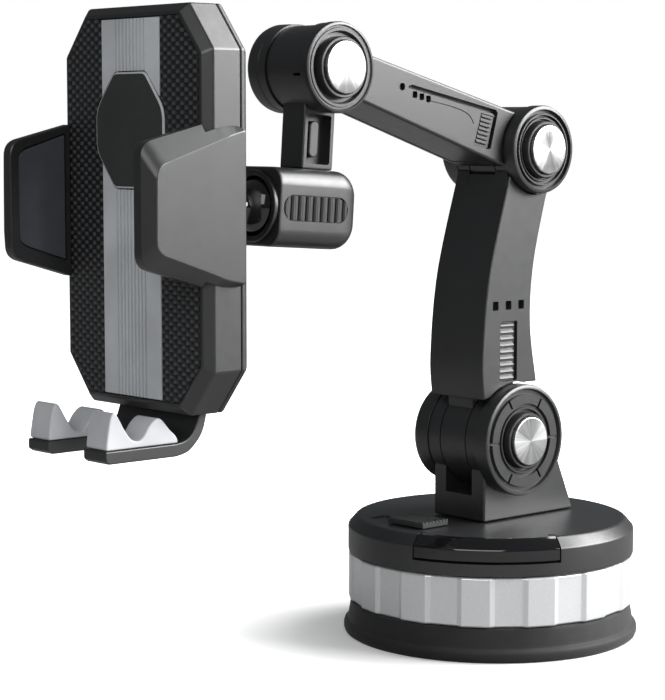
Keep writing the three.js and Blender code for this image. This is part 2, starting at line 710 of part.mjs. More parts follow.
function socketRing() {
  const y = BARREL.y0 - FIT;
  const profile = [[8.2, y], [8.2, y - 0.5], [8.5, y - 1.2], [9.6, y - 1.2], [10, y - 0.8], [10, y]];
  return turnedY(profile, 0, BARREL.z, ROUND);
}

function ballCup() {
  const points = [];
  for (const [r, from, to] of [[BALL_R + 0.16, 119, 150], [BALL_R + 0.6, 150, 119]]) {
    for (let i = 0; i <= 4; i++) {
      const a = THREE.MathUtils.degToRad(from + ((to - from) * i) / 4);
      points.push([r * Math.sin(a), BALL.y - r * Math.cos(a)]);
    }
  }
  return turnedY(points, 0, BALL.z, ROUND);
}

function ballStud() {
  const ball = moved(new THREE.SphereGeometry(BALL_R, 24, 14), 0, BALL.y, BALL.z);
  const y = BALL.y;
  const stud = turnedY([
    [0, y - 6], [STUD_R, y - 6], [STUD_R, y - 9.8], [4.8, y - 10.4], [4.8, y - 12], [STUD_R, y - 12.6],
    [STUD_R, -124.1], [6.4, -124.1], [6.4, -125.7], [0, -125.7],
  ], 0, BALL.z);
  return join(toSolid(ball), stud);
}

// ---------- clamp ----------
const SCREW_POSTS = [[-21, 97], [21, 97], [-21, 169], [21, 169]];

function footSlot() {
  return box(-HOOK_OUT - 0.4, HOOK_OUT + 0.4, -127.9, -124.5, 76, 84);
}

function frontShell() {
  const shell = join(
    loft(octagon(0, BEVEL_Y), octagon(2.2, FRONT_Y)),
    loft(octagon(0, SPLIT_Y - 0.05), octagon(0, BEVEL_Y)),
  );
  const cavity = prismY(outline(octagon(CLAMP_WALL)), -133.2, -120);
  const posts = SCREW_POSTS.map(([x, z]) => tubeY(1.3, 2.8, -133.6, -124, x, z, 16));
  const axle = tubeY(0, 2, -133.6, -126.8, 0, CLAMP_Z, 16);
  const walled = join(cut(shell, cavity), ...posts, axle);
  return cut(
    walled,
    prismY(outline(octagon(3)), -140, FRONT_Y + 0.9),
    prismY(plateOutline(-GAP), -140, -120),
    footSlot(),
    ...rackSlots(),
  );
}

// A flat cover over the rear, with a shallow lip, a boss round the ball stud and four screw seats.
function backShell() {
  const shell = join(
    loft(octagon(1.2, BACK_Y), octagon(0, -123)),
    loft(octagon(0, -123), octagon(0, SPLIT_Y + 0.05)),
  );
  const cavity = prismY(outline(octagon(CLAMP_WALL)), -140, -123.6);
  const boss = turnedY([
    [STUD_R + GAP, -122], [13, -122], [12, -116], [9.5, -107.6], [STUD_R + GAP, -107.6],
  ], 0, BALL.z, 32);
  const tools = [tubeY(0, STUD_R + GAP, -126, -100, 0, BALL.z)];
  for (const [x, z] of SCREW_POSTS) {
    tools.push(tubeY(0, 1.5, -126, -120, x, z, 16), tubeY(0, 2.7, -123.05, -120, x, z, 16));
  }
  return cut(join(cut(shell, cavity), boss), ...tools);
}

function rackSlots() {
  const [y0, y1] = [RACK_Y[0] - 0.4, RACK_Y[1] + 0.4];
  const upper = [CLAMP_Z + 6.4, CLAMP_Z + 13.3];
  const lower = [CLAMP_Z - 13.3, CLAMP_Z - 6.4];
  return [box(20, 40, y0, y1, ...upper), box(-40, -20, y0, y1, ...lower)];
}

function plateOutline(inset) {
  const w = PLATE_HALF_W - inset;
  const top = PLATE_TOP_HALF;
  const [z0, z1] = [PLATE_Z[0] + inset, PLATE_Z[1] - inset];
  return outline([
    [w, z0 + PLATE_CUT], [w, z1 - PLATE_CUT], [top, z1], [-top, z1],
    [-w, z1 - PLATE_CUT], [-w, z0 + PLATE_CUT], [-top, z0], [top, z0],
  ]);
}

function carbonPanel(side) {
  const panel = prismY(outline(octagon(3.15)), FRONT_Y - 0.1, FRONT_Y + 0.75);
  const span = side > 0 ? [STRIPE_HALF_W + 0.2, 60] : [-60, -STRIPE_HALF_W - 0.2];
  const half = panel.intersect(box(...span, -145, -120, 40, 240));
  return cut(half, prismY(plateOutline(-GAP), -140, -120));
}

function stripe(z0, z1) {
  const grooves = [];
  for (let i = -4; i <= 4; i++) {
    const x = i * 1.5;
    grooves.push(box(x - 0.25, x + 0.25, -140, FRONT_Y - 0.05, 40, 240));
  }
  return cut(
    box(-STRIPE_HALF_W, STRIPE_HALF_W, FRONT_Y - 0.35, FRONT_Y + 0.75, z0, z1),
    prismY(plateOutline(-GAP), -140, -120),
    ...grooves,
  );
}

function triggerPlate() {
  return join(
    prismY(plateOutline(0), FRONT_Y - 0.7, -133.3, 0.3),
    box(-PLATE_HALF_W - 1.5, PLATE_HALF_W + 1.5, -133, -131.8, 149, 166),
    box(-PLATE_HALF_W + 2, PLATE_HALF_W - 2, -134, -132.5, 149.5, 158),
    tubeY(0, 2.6, -132, -128.6, 0, 158),
  );
}

// Ten teeth along the bar of a jaw, on the side that meets the pinion.
function toothRow(up) {
  const pitch = (2 * Math.PI * PINION_R) / PINION_TEETH;
  const root = CLAMP_Z + up * (PINION_R + 1.2);
  const tip = CLAMP_Z + up * (PINION_R - 0.8);
  const teeth = [];
  for (let i = -8; i <= 1; i++) {
    const x = (i + 0.5) * pitch;
    const tooth = outline([[x - 0.95, root], [x + 0.95, root], [x + 0.3, tip], [x - 0.3, tip]]);
    teeth.push(prismY(tooth, ...RACK_Y));
  }
  return teeth;
}

// Outlines of a jaw in (Y, Z): its inner edge, its outer flat face, and its soft inner face.
const JAW_RIM = [
  [-155.4, 121.6], [-155.4, 148.4], [-153.4, 150.7], [-130.5, 156.2],
  [-124.6, 155.2], [-124.6, 113.4], [-130.5, 112.9], [-153.4, 119.6],
];
const JAW_FACE = [
  [-153.3, 126], [-153.3, 142.4], [-151, 145.6], [-130.5, 152.3],
  [-125.6, 153.9], [-125.6, 114.4], [-130.5, 116], [-151, 122.6],
];
const JAW_LINING = [
  [-152.9, 124.6], [-152.9, 146.6], [-151.4, 148.6], [-137.6, 152.8], [-137.6, 118.4], [-151.4, 122.8],
];

// One jaw with its rack. The racks lie above and below the pinion: \`up\` is 1 or -1.
function jaw(up) {
  const at = (points, x) => points.map(([y, z]) => [x, y, z]);
  const wall = join(
    loft(at(JAW_RIM, JAW_IN), at(JAW_RIM, JAW_EDGE)),
    loft(at(JAW_RIM, JAW_EDGE), at(JAW_FACE, JAW_OUT)),
  );
  const rack = [CLAMP_Z + up * (PINION_R + 1), CLAMP_Z + up * (PINION_R + 7)].sort((a, b) => a - b);
  const bar = box(-24, 32.5, ...RACK_Y, ...rack);
  const shaped = cut(
    wall,
    box(20, RIM_HALF_W + 0.4, -136.3, -120, 90, 180),
    prismX(outline(JAW_LINING), 20, JAW_IN + 1.2),
  );
  return join(shaped, bar, ...toothRow(up));
}

function jawPad() {
  const inner = JAW_LINING.map(([y, z]) => [y + (y < -140 ? 0.3 : -0.3), z + (z > CLAMP_Z ? -0.3 : 0.3)]);
  return prismX(outline(inner), JAW_IN + 0.2, JAW_IN + 1.1);
}

function mirroredX(solid) {
  return solid.mirror([1, 0, 0]);
}

function pinion() {
  const points = [];
  for (let i = 0; i < PINION_TEETH; i++) {
    const middle = (i / PINION_TEETH) * 2 * Math.PI + Math.PI / 2;
    for (const [r, half] of [[5, 0.2], [PINION_R, 0.092], [PINION_R + 0.75, 0.04]]) {
      points.push([middle - half, r]);
    }
    for (const [r, half] of [[PINION_R + 0.75, 0.04], [PINION_R, 0.092], [5, 0.2]]) {
      points.push([middle + half, r]);
    }
  }
  const rim = points.map(([a, r]) => [r * Math.cos(a), CLAMP_Z + r * Math.sin(a)]);
  const gear = prismY(outline(rim), RACK_Y[0] + 0.1, RACK_Y[1] - 0.1);
  return cut(gear, tubeY(0, 2.15, -140, -120, 0, CLAMP_Z, 16));
}

function footBracket() {
  const [z0, z1] = HOOK_Z;
  const side = outline([
    [HOOK_FRONT, z0 + 0.6], [HOOK_FRONT, z1], [-133.5, z1], [-130.2, 74.2], [-128, 76.6],
    [-127.5, 79.5], [-127.5, 104], [-124.9, 104], [-124.9, 78.8], [-126.6, 74.6], [-130.6, 70.6], [-134.8, z0], [HOOK_FRONT + 1, z0],
  ]);
  return cut(prismX(side, -HOOK_OUT, HOOK_OUT, 0.4), box(-HOOK_IN, HOOK_IN, -170, -131.5, 60, 80));
}

function footPad(side) {
  const base = HOOK_Z[1] + FIT;
  const wave = outline([
    [-157.1, base], [-157.1, 74.2], [-155.4, 82], [-153.9, 82.4], [-149, 75.4], [-147.2, 74.6],
    [-145.4, 75.6], [-142.2, 79.4], [-139.8, 79.6], [-135.2, 75], [-134.2, base],
  ]);
  const pad = prismX(wave, HOOK_IN + 0.3, HOOK_OUT - 0.3, 0.4);
  return side > 0 ? pad : mirroredX(pad);
}

function clampScrew([x, z]) {
  const profile = [[0, -131], [1.1, -131], [1.1, -122.9], [2.4, -122.9], [2.4, -121.9], [0, -121.9]];
  return turnedY(profile, x, z, 12);
}

function triggerSpring() {
  const spring = coil(3.9, 5.2, 4, 0.45).rotateX(Math.PI / 2);
  return toSolid(moved(spring, 0, -124.4, 158));
}

// ---------- assembly ----------
addBase();
add("turret", turret(), BLACK);
add("swivel_disc", swivelDisc(), STEEL);
addHinge("lower_hinge", LOWER);
add("lower_arm_shell", lowerArmShell(), BLACK);
add("lower_arm_back_cover", lowerArmBackCover(), BLACK);
add("lower_arm_vent_right", lowerArmVent(1), BLACK);
add("lower_arm_vent_left", lowerArmVent(-1), BLACK);
addHinge("elbow", ELBOW);
add("upper_arm_shell", upperArmShell(), BLACK);
add("upper_arm_top_strip", upperArmTopStrip(), BLACK);
add("upper_arm_under_cover", upperArmUnderCover(), BLACK);
add("upper_arm_vent_right", upperArmVent(1), BLACK);
add("upper_arm_vent_left", upperArmVent(-1), BLACK);
addHinge("wrist", WRIST);
add("neck_bar", neckBar(), BLACK, neckGroup);
add("ball_barrel", barrel(), BLACK, neckGroup);
add("barrel_grille_right", barrelGrille(1), BLACK, neckGroup);
add("barrel_grille_left", barrelGrille(-1), BLACK, neckGroup);
add("socket_ring", socketRing(), BLACK, neckGroup);
add("ball_cup", ballCup(), STEEL);
add("ball_stud", ballStud(), BLACK);
add("clamp_front_shell", frontShell(), BLACK);
add("clamp_back_shell", backShell(), BLACK);
add("carbon_panel_right", carbonPanel(1), WEAVE);
add("carbon_panel_left", carbonPanel(-1), WEAVE);
add("stripe_upper", stripe(160, CLAMP_Z + RIM_HALF_H - 3.4), GREY);
add("stripe_lower", stripe(CLAMP_Z - RIM_HALF_H + 3.4, 150), GREY);
add("trigger_plate", triggerPlate(), BLACK);
add("trigger_spring", triggerSpring(), STEEL);
add("jaw_right", jaw(1), BLACK);
add("jaw_left", mirroredX(jaw(-1)), BLACK);
add("jaw_pad_right", jawPad(), GLOSS);
add("jaw_pad_left", mirroredX(jawPad()), GLOSS);
add("pinion", pinion(), PALE);
add("foot_bracket", footBracket(), BLACK);
add("foot_pad_right", footPad(1), PALE);
add("foot_pad_left", footPad(-1), PALE);
SCREW_POSTS.forEach((post, i) => add("clamp_screw_" + (i + 1), clampScrew(post), STEEL));

export default mount;
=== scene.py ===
"""Car phone mount: the finished look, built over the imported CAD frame.

Lengths are millimetres until a mesh is made.
"""
import math

import bmesh
import bpy
from mathutils import Matrix, Vector


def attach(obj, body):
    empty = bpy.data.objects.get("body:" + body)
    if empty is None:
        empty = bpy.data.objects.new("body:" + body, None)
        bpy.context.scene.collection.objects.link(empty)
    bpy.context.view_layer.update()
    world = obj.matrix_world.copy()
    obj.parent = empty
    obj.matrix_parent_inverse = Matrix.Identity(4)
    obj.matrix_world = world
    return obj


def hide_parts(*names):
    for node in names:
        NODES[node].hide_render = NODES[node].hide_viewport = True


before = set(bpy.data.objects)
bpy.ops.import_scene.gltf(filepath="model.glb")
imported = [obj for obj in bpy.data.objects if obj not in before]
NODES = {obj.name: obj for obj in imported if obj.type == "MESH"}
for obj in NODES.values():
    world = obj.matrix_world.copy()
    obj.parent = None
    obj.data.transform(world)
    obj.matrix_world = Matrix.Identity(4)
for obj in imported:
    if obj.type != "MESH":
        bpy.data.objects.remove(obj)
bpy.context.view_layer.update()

MM = 0.001

# ---------- dimensions shared with the CAD model ----------
RING_Z = (10.2, 24.9)
RING_PANELS = 28
RING_HIGH_R = 43.35
RING_LOW_R = 42.55
COVER_R = 43.7
LEVER_TURN = 42.5
LEVER_HALF = 29.0
LOWER = {
    "y": -1.33, "z": 60.74, "drum": 15.3, "cap": 16.84,
    "far": 15.5, "face": 15.67, "far_face": 17.5, "cheek": 10.7,
}
ELBOW = {
    "y": 6.86, "z": 147.8, "drum": 12.8, "cap": 13.14,
    "far": 13.14, "face": 14.6, "far_face": 16.9, "cheek": 10.2,
}
WRIST = {
    "y": -72.8, "z": 170.8, "drum": 12.4, "cap": 12.6,
    "far": 12.5, "face": 12.1, "far_face": 14.6, "cheek": 8.9,
}
DISC_R = 7.25
DISC_PROUD = 2.4
BOLT_HOLE_R = 2.8
LOWER_ARM_HALF = 11.25
UPPER_ARM_HALF = 10.1
TONGUE_HALF = 5.1
SLOT_HALF = 5.5
NECK_LEAN = -4.0
NECK_Y = -73.2
NECK_HALF_X = 4.8
NECK_HALF_Y = 5.7
BARREL = {"y0": -91.2, "y1": -61.8, "z": 131.5, "half_x": 10.7, "half_z": 10.95}
WINDOW_R = 3.6
BALL = {"r": 8.5, "y": -91.0, "z": 132.7}
CLAMP_Z = 133.1
RIM_HALF_W = 31.3
RIM_HALF_H = 52.75
CUT_W = 9.7
CUT_H = 11.8
FRONT_Y = -135.6
BEVEL_Y = -133.2
SPLIT_Y = -124.4
BACK_Y = -121.7
CLAMP_WALL = 1.8
STRIPE_HALF_W = 12.4
PLATE_HALF_W = 14.7
PLATE_TOP_HALF = 6.8
PLATE_CUT = 9.7
PLATE_Z = (138.4, 168.7)
JAW_IN = 27.0
JAW_OUT = 33.8
JAW_EDGE = 30.2
HOOK_IN = 7.9
HOOK_OUT = 17.4
HOOK_Z = (69.4, 72.8)
HOOK_FRONT = -157.5
SCREW_POSTS = [(-21, 97), (21, 97), (-21, 169), (21, 169)]

# ---------- mesh tools ----------
AXES = {
    "X": lambda a, b, h: (h, a, b),
    "Y": lambda a, b, h: (a, h, b),
    "Z": lambda a, b, h: (a, b, h),
}


def mesh_object(name, verts, faces):
    mesh = bpy.data.meshes.new(name)
    mesh.from_pydata([Vector(v) * MM for v in verts], [], faces)
    work = bmesh.new()
    work.from_mesh(mesh)
    bmesh.ops.remove_doubles(work, verts=work.verts, dist=1e-7)
    bmesh.ops.recalc_face_normals(work, faces=work.faces)
    work.to_mesh(mesh)
    work.free()
    made = bpy.data.objects.new(name, mesh)
    bpy.context.scene.collection.objects.link(made)
    return made


def stack(name, rings):
    """A solid through closed rings of points, each ring with as many points as the next."""
    count = len(rings[0])
    verts = [point for ring in rings for point in ring]
    faces = [tuple(range(count)), tuple(reversed(range(len(verts) - count, len(verts))))]
    for level in range(len(rings) - 1):
        for i in range(count):
            j = (i + 1) % count
            low = level * count
            faces.append((low + i, low + count + i, low + count + j, low + j))
    return mesh_object(name, verts, faces)


def prism(name, points, axis, low, high):
    place = AXES[axis]
    return stack(name, [[place(a, b, h) for a, b in points] for h in (low, high)])


def cuboid(name, x0, x1, y0, y1, z0, z1):
    return prism(name, [(x0, y0), (x1, y0), (x1, y1), (x0, y1)], "Z", z0, z1)


def turned(name, profile, axis, centre=(0.0, 0.0), sides=96):
    """A lathe solid. The (radius, height) points close on themselves, or start and end on the axis."""
    place = AXES[axis]
    verts = []
    rings = []
    for radius, height in profile:
        if radius == 0:
            rings.append([len(verts)] * sides)
            verts.append(place(centre[0], centre[1], height))
            continue
        rings.append(list(range(len(verts), len(verts) + sides)))
        for i in range(sides):
            angle = 2 * math.pi * i / sides
            a = centre[0] + radius * math.cos(angle)
            b = centre[1] + radius * math.sin(angle)
            verts.append(place(a, b, height))
    pairs = list(zip(rings, rings[1:]))
    if profile[0][0] > 0:
        pairs.append((rings[-1], rings[0]))
    faces = []
    for a, b in pairs:
        for i in range(sides):
            j = (i + 1) % sides
            corners = list(dict.fromkeys((a[i], a[j], b[j], b[i])))
            if len(corners) > 2:
                faces.append(tuple(corners))
    return mesh_object(name, verts, faces)


def disc_solid(name, radius, axis, low, high, centre=(0.0, 0.0), sides=64):
    return turned(name, [(0, low), (radius, low), (radius, high), (0, high)], axis, centre, sides)


def bake(thing):
    """Applies the modifiers of an object to its mesh."""
    graph = bpy.context.evaluated_depsgraph_get()
    mesh = bpy.data.meshes.new_from_object(thing.evaluated_get(graph))
    thing.modifiers.clear()
    old = thing.data
    thing.data = mesh
    mesh.name = thing.name
    bpy.data.meshes.remove(old)


def combine(thing, tools, operation):
    for tool in tools:
        step = thing.modifiers.new(operation, "BOOLEAN")
        step.operation = operation
        step.solver = "EXACT"
        step.object = tool
        bake(thing)
        bpy.data.meshes.remove(tool.data)
    return thing


def cut(thing, *tools):
    return combine(thing, tools, "DIFFERENCE")


def join(thing, *others):
    return combine(thing, others, "UNION")


def keep(thing, *others):
    return combine(thing, others, "INTERSECT")


def soften(thing, width, segments=2, angle=32.0):
    """Rounds the sharp edges."""
    step = thing.modifiers.new("round", "BEVEL")
    step.width = width * MM
    step.segments = segments
    step.limit_method = "ANGLE"
    step.angle_limit = math.radians(angle)
    step.miter_outer = "MITER_ARC"
    bake(thing)
    return thing


def mirrored(thing, name):
    """A copy on the other side of the X = 0 plane."""
    mesh = thing.data.copy()
    mesh.transform(Matrix.Scale(-1, 4, (1, 0, 0)))
    mesh.flip_normals()
    mesh.name = name
    made = bpy.data.objects.new(name, mesh)
    bpy.context.scene.collection.objects.link(made)
    return made


def moved(thing, matrix):
    thing.data.transform(matrix)
    return thing


def about(point, degrees, axis):
    """A turn about an axis through a point given in millimetres."""
    centre = Vector(point) * MM
    turn = Matrix.Rotation(math.radians(degrees), 4, axis)
    return Matrix.Translation(centre) @ turn @ Matrix.Translation(-centre)


def towards_lever(thing):
    return moved(thing, Matrix.Rotation(math.radians(LEVER_TURN + 180), 4, "Z"))


def leaned(thing):
    return moved(thing, about((0, WRIST["y"], WRIST["z"]), NECK_LEAN, "X"))


def rounded_box(half_w, half_h, radius, centre=(0.0, 0.0), steps=8):
    points = []
    for corner in range(4):
        x = (half_w - radius) * (1 if corner in (0, 3) else -1)
        y = (half_h - radius) * (1 if corner in (0, 1) else -1)
        for i in range(steps + 1):
            angle = math.pi / 2 * (corner + i / steps)
            across = centre[0] + x + radius * math.cos(angle)
            up = centre[1] + y + radius * math.sin(angle)
            points.append((across, up))
    return points


def rounded(corners, radii, steps=6):
    """An outline whose corners are rounded by the given radii."""
    points = []
    for i, corner in enumerate(corners):
        here = Vector(corner)
        before = Vector(corners[i - 1]) - here
        after = Vector(corners[(i + 1) % len(corners)]) - here
        start = here + before.normalized() * radii[i]
        end = here + after.normalized() * radii[i]
        for k in range(steps + 1):
            t = k / steps
            points.append(tuple(start * (1 - t) ** 2 + here * 2 * t * (1 - t) + end * t * t))
    return points


def curve(points, per_span=6):
    """Catmull-Rom points through a list of (a, b) points."""
    ends = [points[0], *points, points[-1]]
    made = []
    for p0, p1, p2, p3 in zip(ends, ends[1:], ends[2:], ends[3:]):
        for i in range(per_span):
            t = i / per_span
            made.append(tuple(
                0.5 * (
                    2 * b + (c - a) * t + (2 * a - 5 * b + 4 * c - d) * t * t
                    + (3 * b - a - 3 * c + d) * t ** 3
                )
                for a, b, c, d in zip(p0, p1, p2, p3)
            ))
    return made + [points[-1]]


def ribbon(points, width):
    """The outline of a band of even width along a path."""
    left = []
    right = []
    for i, (a, b) in enumerate(points):
        before = points[max(i - 1, 0)]
        after = points[min(i + 1, len(points) - 1)]
        along = Vector((after[0] - before[0], after[1] - before[1])).normalized()
        left.append((a - along.y * width / 2, b + along.x * width / 2))
        right.append((a + along.y * width / 2, b - along.x * width / 2))
    return left + right[::-1]


def both_sides(low, high):
    return [(low, high), (-high, -low)]


# ---------- materials ----------
def new_material(name, colour, roughness, metallic=0.0, specular=0.5):
    made = bpy.data.materials.new(name)
    made.use_nodes = True
    shader = made.node_tree.nodes["Principled BSDF"]
    shader.inputs["Base Color"].default_value = (*colour, 1)
    shader.inputs["Roughness"].default_value = roughness
    shader.inputs["Metallic"].default_value = metallic
    shader.inputs["Specular IOR Level"].default_value = specular
    return made, shader


def add_node(material, kind, **inputs):
    node = material.node_tree.nodes.new(kind)
    for key, value in inputs.items():
        node.inputs[key.replace("_", " ")].default_value = value
    return node


def link(material, source, target):
    material.node_tree.links.new(source, target)


def math_node(material, operation, first, second):
    """A Math node: each input is a number or another node's output."""
    node = add_node(material, "ShaderNodeMath")
    node.operation = operation
    for slot, value in zip(node.inputs, (first, second)):
        if isinstance(value, (int, float)):
            slot.default_value = value
        else:
            link(material, value, slot)
    return node.outputs[0]


def coordinates(material):
    """The X, Y and Z of a point on the piece, as outputs to read by name."""
    place = add_node(material, "ShaderNodeTexCoord")
    parts = add_node(material, "ShaderNodeSeparateXYZ")
    link(material, place.outputs["Object"], parts.inputs["Vector"])
    return parts.outputs


def noise(material, scale, detail=3.0):
    place = add_node(material, "ShaderNodeTexCoord")
    texture = add_node(material, "ShaderNodeTexNoise", Scale=scale, Detail=detail)
    link(material, place.outputs["Object"], texture.inputs["Vector"])
    return texture.outputs["Fac"]


def blend_colour(material, shader, dark, light, amount):
    ramp = add_node(material, "ShaderNodeValToRGB")
    for element, position, colour in zip(ramp.color_ramp.elements, (0.3, 0.7), (dark, light)):
        element.position = position
        element.color = (*colour, 1)
    link(material, amount, ramp.inputs["Fac"])
    link(material, ramp.outputs["Color"], shader.inputs["Base Color"])


def vary_colour(material, shader, dark, light, scale):
    blend_colour(material, shader, dark, light, noise(material, scale))


def vary_roughness(material, shader, low, high, scale):
    spread = add_node(material, "ShaderNodeMapRange", To_Min=low, To_Max=high)
    link(material, noise(material, scale, 5.0), spread.inputs["Value"])
    link(material, spread.outputs["Result"], shader.inputs["Roughness"])


def grain(material, shader, scale, depth, height=None):
    bump = add_node(material, "ShaderNodeBump", Strength=1.0, Distance=depth * MM)
    link(material, height or noise(material, scale, 2.0), bump.inputs["Height"])
    link(material, bump.outputs["Normal"], shader.inputs["Normal"])


def satin_plastic(name, colour, roughness, specular=0.5):
    """Finely textured moulded plastic."""
    material, shader = new_material(name, colour, roughness, 0.0, specular)
    vary_colour(material, shader, [c * 0.88 for c in colour], [c * 1.12 for c in colour], 60)
    vary_roughness(material, shader, roughness - 0.06, roughness + 0.06, 400)
    grain(material, shader, 2600, 0.012)
    return material


def gloss_plastic(name, colour):
    """Polished plastic with a faint ripple."""
    material, shader = new_material(name, colour, 0.08, 0.0, 0.6)
    vary_roughness(material, shader, 0.05, 0.14, 180)
    grain(material, shader, 120, 0.01)
    shader.inputs["Coat Weight"].default_value = 0.6
    shader.inputs["Coat Roughness"].default_value = 0.04
    return material


def soft_rubber(name, colour):
    material, shader = new_material(name, colour, 0.7, 0.0, 0.35)
    vary_colour(material, shader, [c * 0.85 for c in colour], [c * 1.2 for c in colour], 90)
    vary_roughness(material, shader, 0.55, 0.75, 250)
    grain(material, shader, 1800, 0.02)
    shader.inputs["Sheen Weight"].default_value = 0.15
    return material


def silver_paint(name):
    """Metallic paint: fine flakes under a clear coat."""
    material, shader = new_material(name, (0.89, 0.9, 0.915), 0.32, 0.55, 0.6)
    vary_colour(material, shader, (0.84, 0.85, 0.87), (0.94, 0.95, 0.96), 3000)
    vary_roughness(material, shader, 0.26, 0.4, 500)
    grain(material, shader, 4000, 0.008)
    shader.inputs["Coat Weight"].default_value = 0.4
    shader.inputs["Coat Roughness"].default_value = 0.12
    return material


def spun_aluminium(name, axis_y, axis_z):
    """A face turned on a lathe: fine circles round the axis, and fans of painted highlight and painted
    shade in its colour across them.
    """
    material, shader = new_material(name, (0.6, 0.605, 0.61), 0.3, 1.0)
    point = coordinates(material)
    offsets = [
        math_node(material, "SUBTRACT", point[axis], middle * MM)
        for axis, middle in (("Y", axis_y), ("Z", axis_z))
    ]
    turn = math_node(material, "ARCTAN2", offsets[1], offsets[0])
    # painted highlight and shade: the base colour runs from dark to light in fans round the axis
    fans = add_node(material, "ShaderNodeTexNoise", Scale=2.2, Detail=5.0, Roughness=0.75)
    fans.noise_dimensions = "1D"
    link(material, turn, fans.inputs["W"])
    blend_colour(material, shader, (0.28, 0.283, 0.288), (0.78, 0.78, 0.78), fans.outputs["Fac"])
    flat = add_node(material, "ShaderNodeCombineXYZ")
    link(material, offsets[0], flat.inputs["Y"])
    link(material, offsets[1], flat.inputs["Z"])
    radius = add_node(material, "ShaderNodeVectorMath")
    radius.operation = "LENGTH"
    link(material, flat.outputs["Vector"], radius.inputs[0])
    circles = add_node(material, "ShaderNodeTexNoise", Scale=6000.0, Detail=2.0)
    circles.noise_dimensions = "1D"
    link(material, radius.outputs["Value"], circles.inputs["W"])
    grain(material, shader, 0, 0.006, circles.outputs["Fac"])
    shader.inputs["Anisotropic"].default_value = 0.7
    tangent = add_node(material, "ShaderNodeTangent")
    tangent.direction_type = "RADIAL"
    tangent.axis = "X"
    link(material, tangent.outputs["Tangent"], shader.inputs["Tangent"])
    return material


def woven(name, cell_x=1.75, cell_z=1.15):
    """Crossing bands moulded into a plastic panel: domed cells, light and dark in turn, with painted shade
    that darkens each cell towards its edges.
    """
    material, shader = new_material(name, (0.02, 0.021, 0.023), 0.38, 0.0, 0.5)
    point = coordinates(material)
    across = math_node(material, "MULTIPLY", point["X"], 1 / (cell_x * MM))
    up = math_node(material, "MULTIPLY", point["Z"], 1 / (cell_z * MM))
    flat = add_node(material, "ShaderNodeCombineXYZ")
    flat.inputs["Z"].default_value = 0.5
    link(material, across, flat.inputs["X"])
    link(material, up, flat.inputs["Y"])
    cells = add_node(material, "ShaderNodeTexChecker", Scale=1.0)
    cells.inputs["Color1"].default_value = (0.085, 0.088, 0.094, 1)
    cells.inputs["Color2"].default_value = (0.008, 0.0085, 0.009, 1)
    link(material, flat.outputs["Vector"], cells.inputs["Vector"])
    domes = []
    for value in (across, up):
        wave = math_node(material, "SINE", math_node(material, "MULTIPLY", value, math.pi), 0.0)
        domes.append(math_node(material, "POWER", math_node(material, "ABSOLUTE", wave, 0.0), 0.5))
    height = math_node(material, "MULTIPLY", domes[0], domes[1])
    # painted shade: each cell fades to near-black where its dome falls into the creases between the bands
    shade = add_node(material, "ShaderNodeMix")
    shade.data_type = "RGBA"
    colours = [socket for socket in shade.inputs if socket.type == "RGBA"]
    colours[0].default_value = (0.004, 0.004, 0.0045, 1)
    link(material, height, shade.inputs["Factor"])
    link(material, cells.outputs["Color"], colours[1])
    result = [socket for socket in shade.outputs if socket.type == "RGBA"][0]
    link(material, result, shader.inputs["Base Color"])
    grain(material, shader, 0, 0.16, height)
    return material


BLACK = satin_plastic("black_plastic", (0.015, 0.0154, 0.0163), 0.38, 1.0)
DARK = satin_plastic("dark_plastic", (0.008, 0.008, 0.0085), 0.5, 0.4)
GLOSS = gloss_plastic("piano_black", (0.006, 0.006, 0.007))
RUBBER = soft_rubber("black_rubber", (0.018, 0.018, 0.019))
GEL = soft_rubber("gel", (0.035, 0.035, 0.037))
SILVER = silver_paint("silver_paint")
STEEL, steel_shader = new_material("steel", (0.5, 0.5, 0.52), 0.32, 1.0)
vary_roughness(STEEL, steel_shader, 0.24, 0.42, 300)
WEAVE = woven("carbon_print")
GREY = satin_plastic("grey_plastic", (0.62, 0.64, 0.66), 0.42)
# real pale plastic of the foot pads, also used as a painted highlight on the release plate's edge
PALE_PLASTIC_AND_HIGHLIGHT = satin_plastic("pale_plastic", (0.6, 0.61, 0.63), 0.38)
PLATE = satin_plastic("plate_plastic", (0.045, 0.0465, 0.046), 0.55, 0.3)
# painted reflection: the glossy black jaw pads get a lighter bluish grey that stands in for a reflection
PAD_REFLECTION_GREY = satin_plastic("pad_painted_reflection", (0.075, 0.078, 0.088), 0.22, 0.7)


def place(thing, body, material, slot, *replaced, crease=38):
    """Gives a finished piece its material and its body, and hides the CAD nodes that it stands for."""
    thing.data.materials.clear()
    thing.data.materials.append(material)
    for face in thing.data.polygons:
        face.use_smooth = True
    thing.data.set_sharp_from_angle(angle=math.radians(crease))
    weigh = thing.modifiers.new("normals", "WEIGHTED_NORMAL")
    weigh.keep_sharp = True
    bake(thing)
    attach(thing, body)
    if replaced:
        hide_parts(*replaced)
    return thing


def place_black(thing, body, *replaced, crease=38):
    return place(thing, body, BLACK, "black_plastic", *replaced, crease=crease)


def dress(node, material):
    """Gives a CAD node that stays in view its material."""
    thing = NODES[node]
    thing.data.materials.clear()
    thing.data.materials.append(material)


# ---------- suction base ----------
def wedge(name, half, low, high):
    points = [(0.0, 0.0)]
    for i in range(9):
        angle = math.radians(LEVER_TURN - half + half * i / 4)
        points.append((80 * math.sin(angle), -80 * math.cos(angle)))
    return prism(name, points, "Z", low, high)


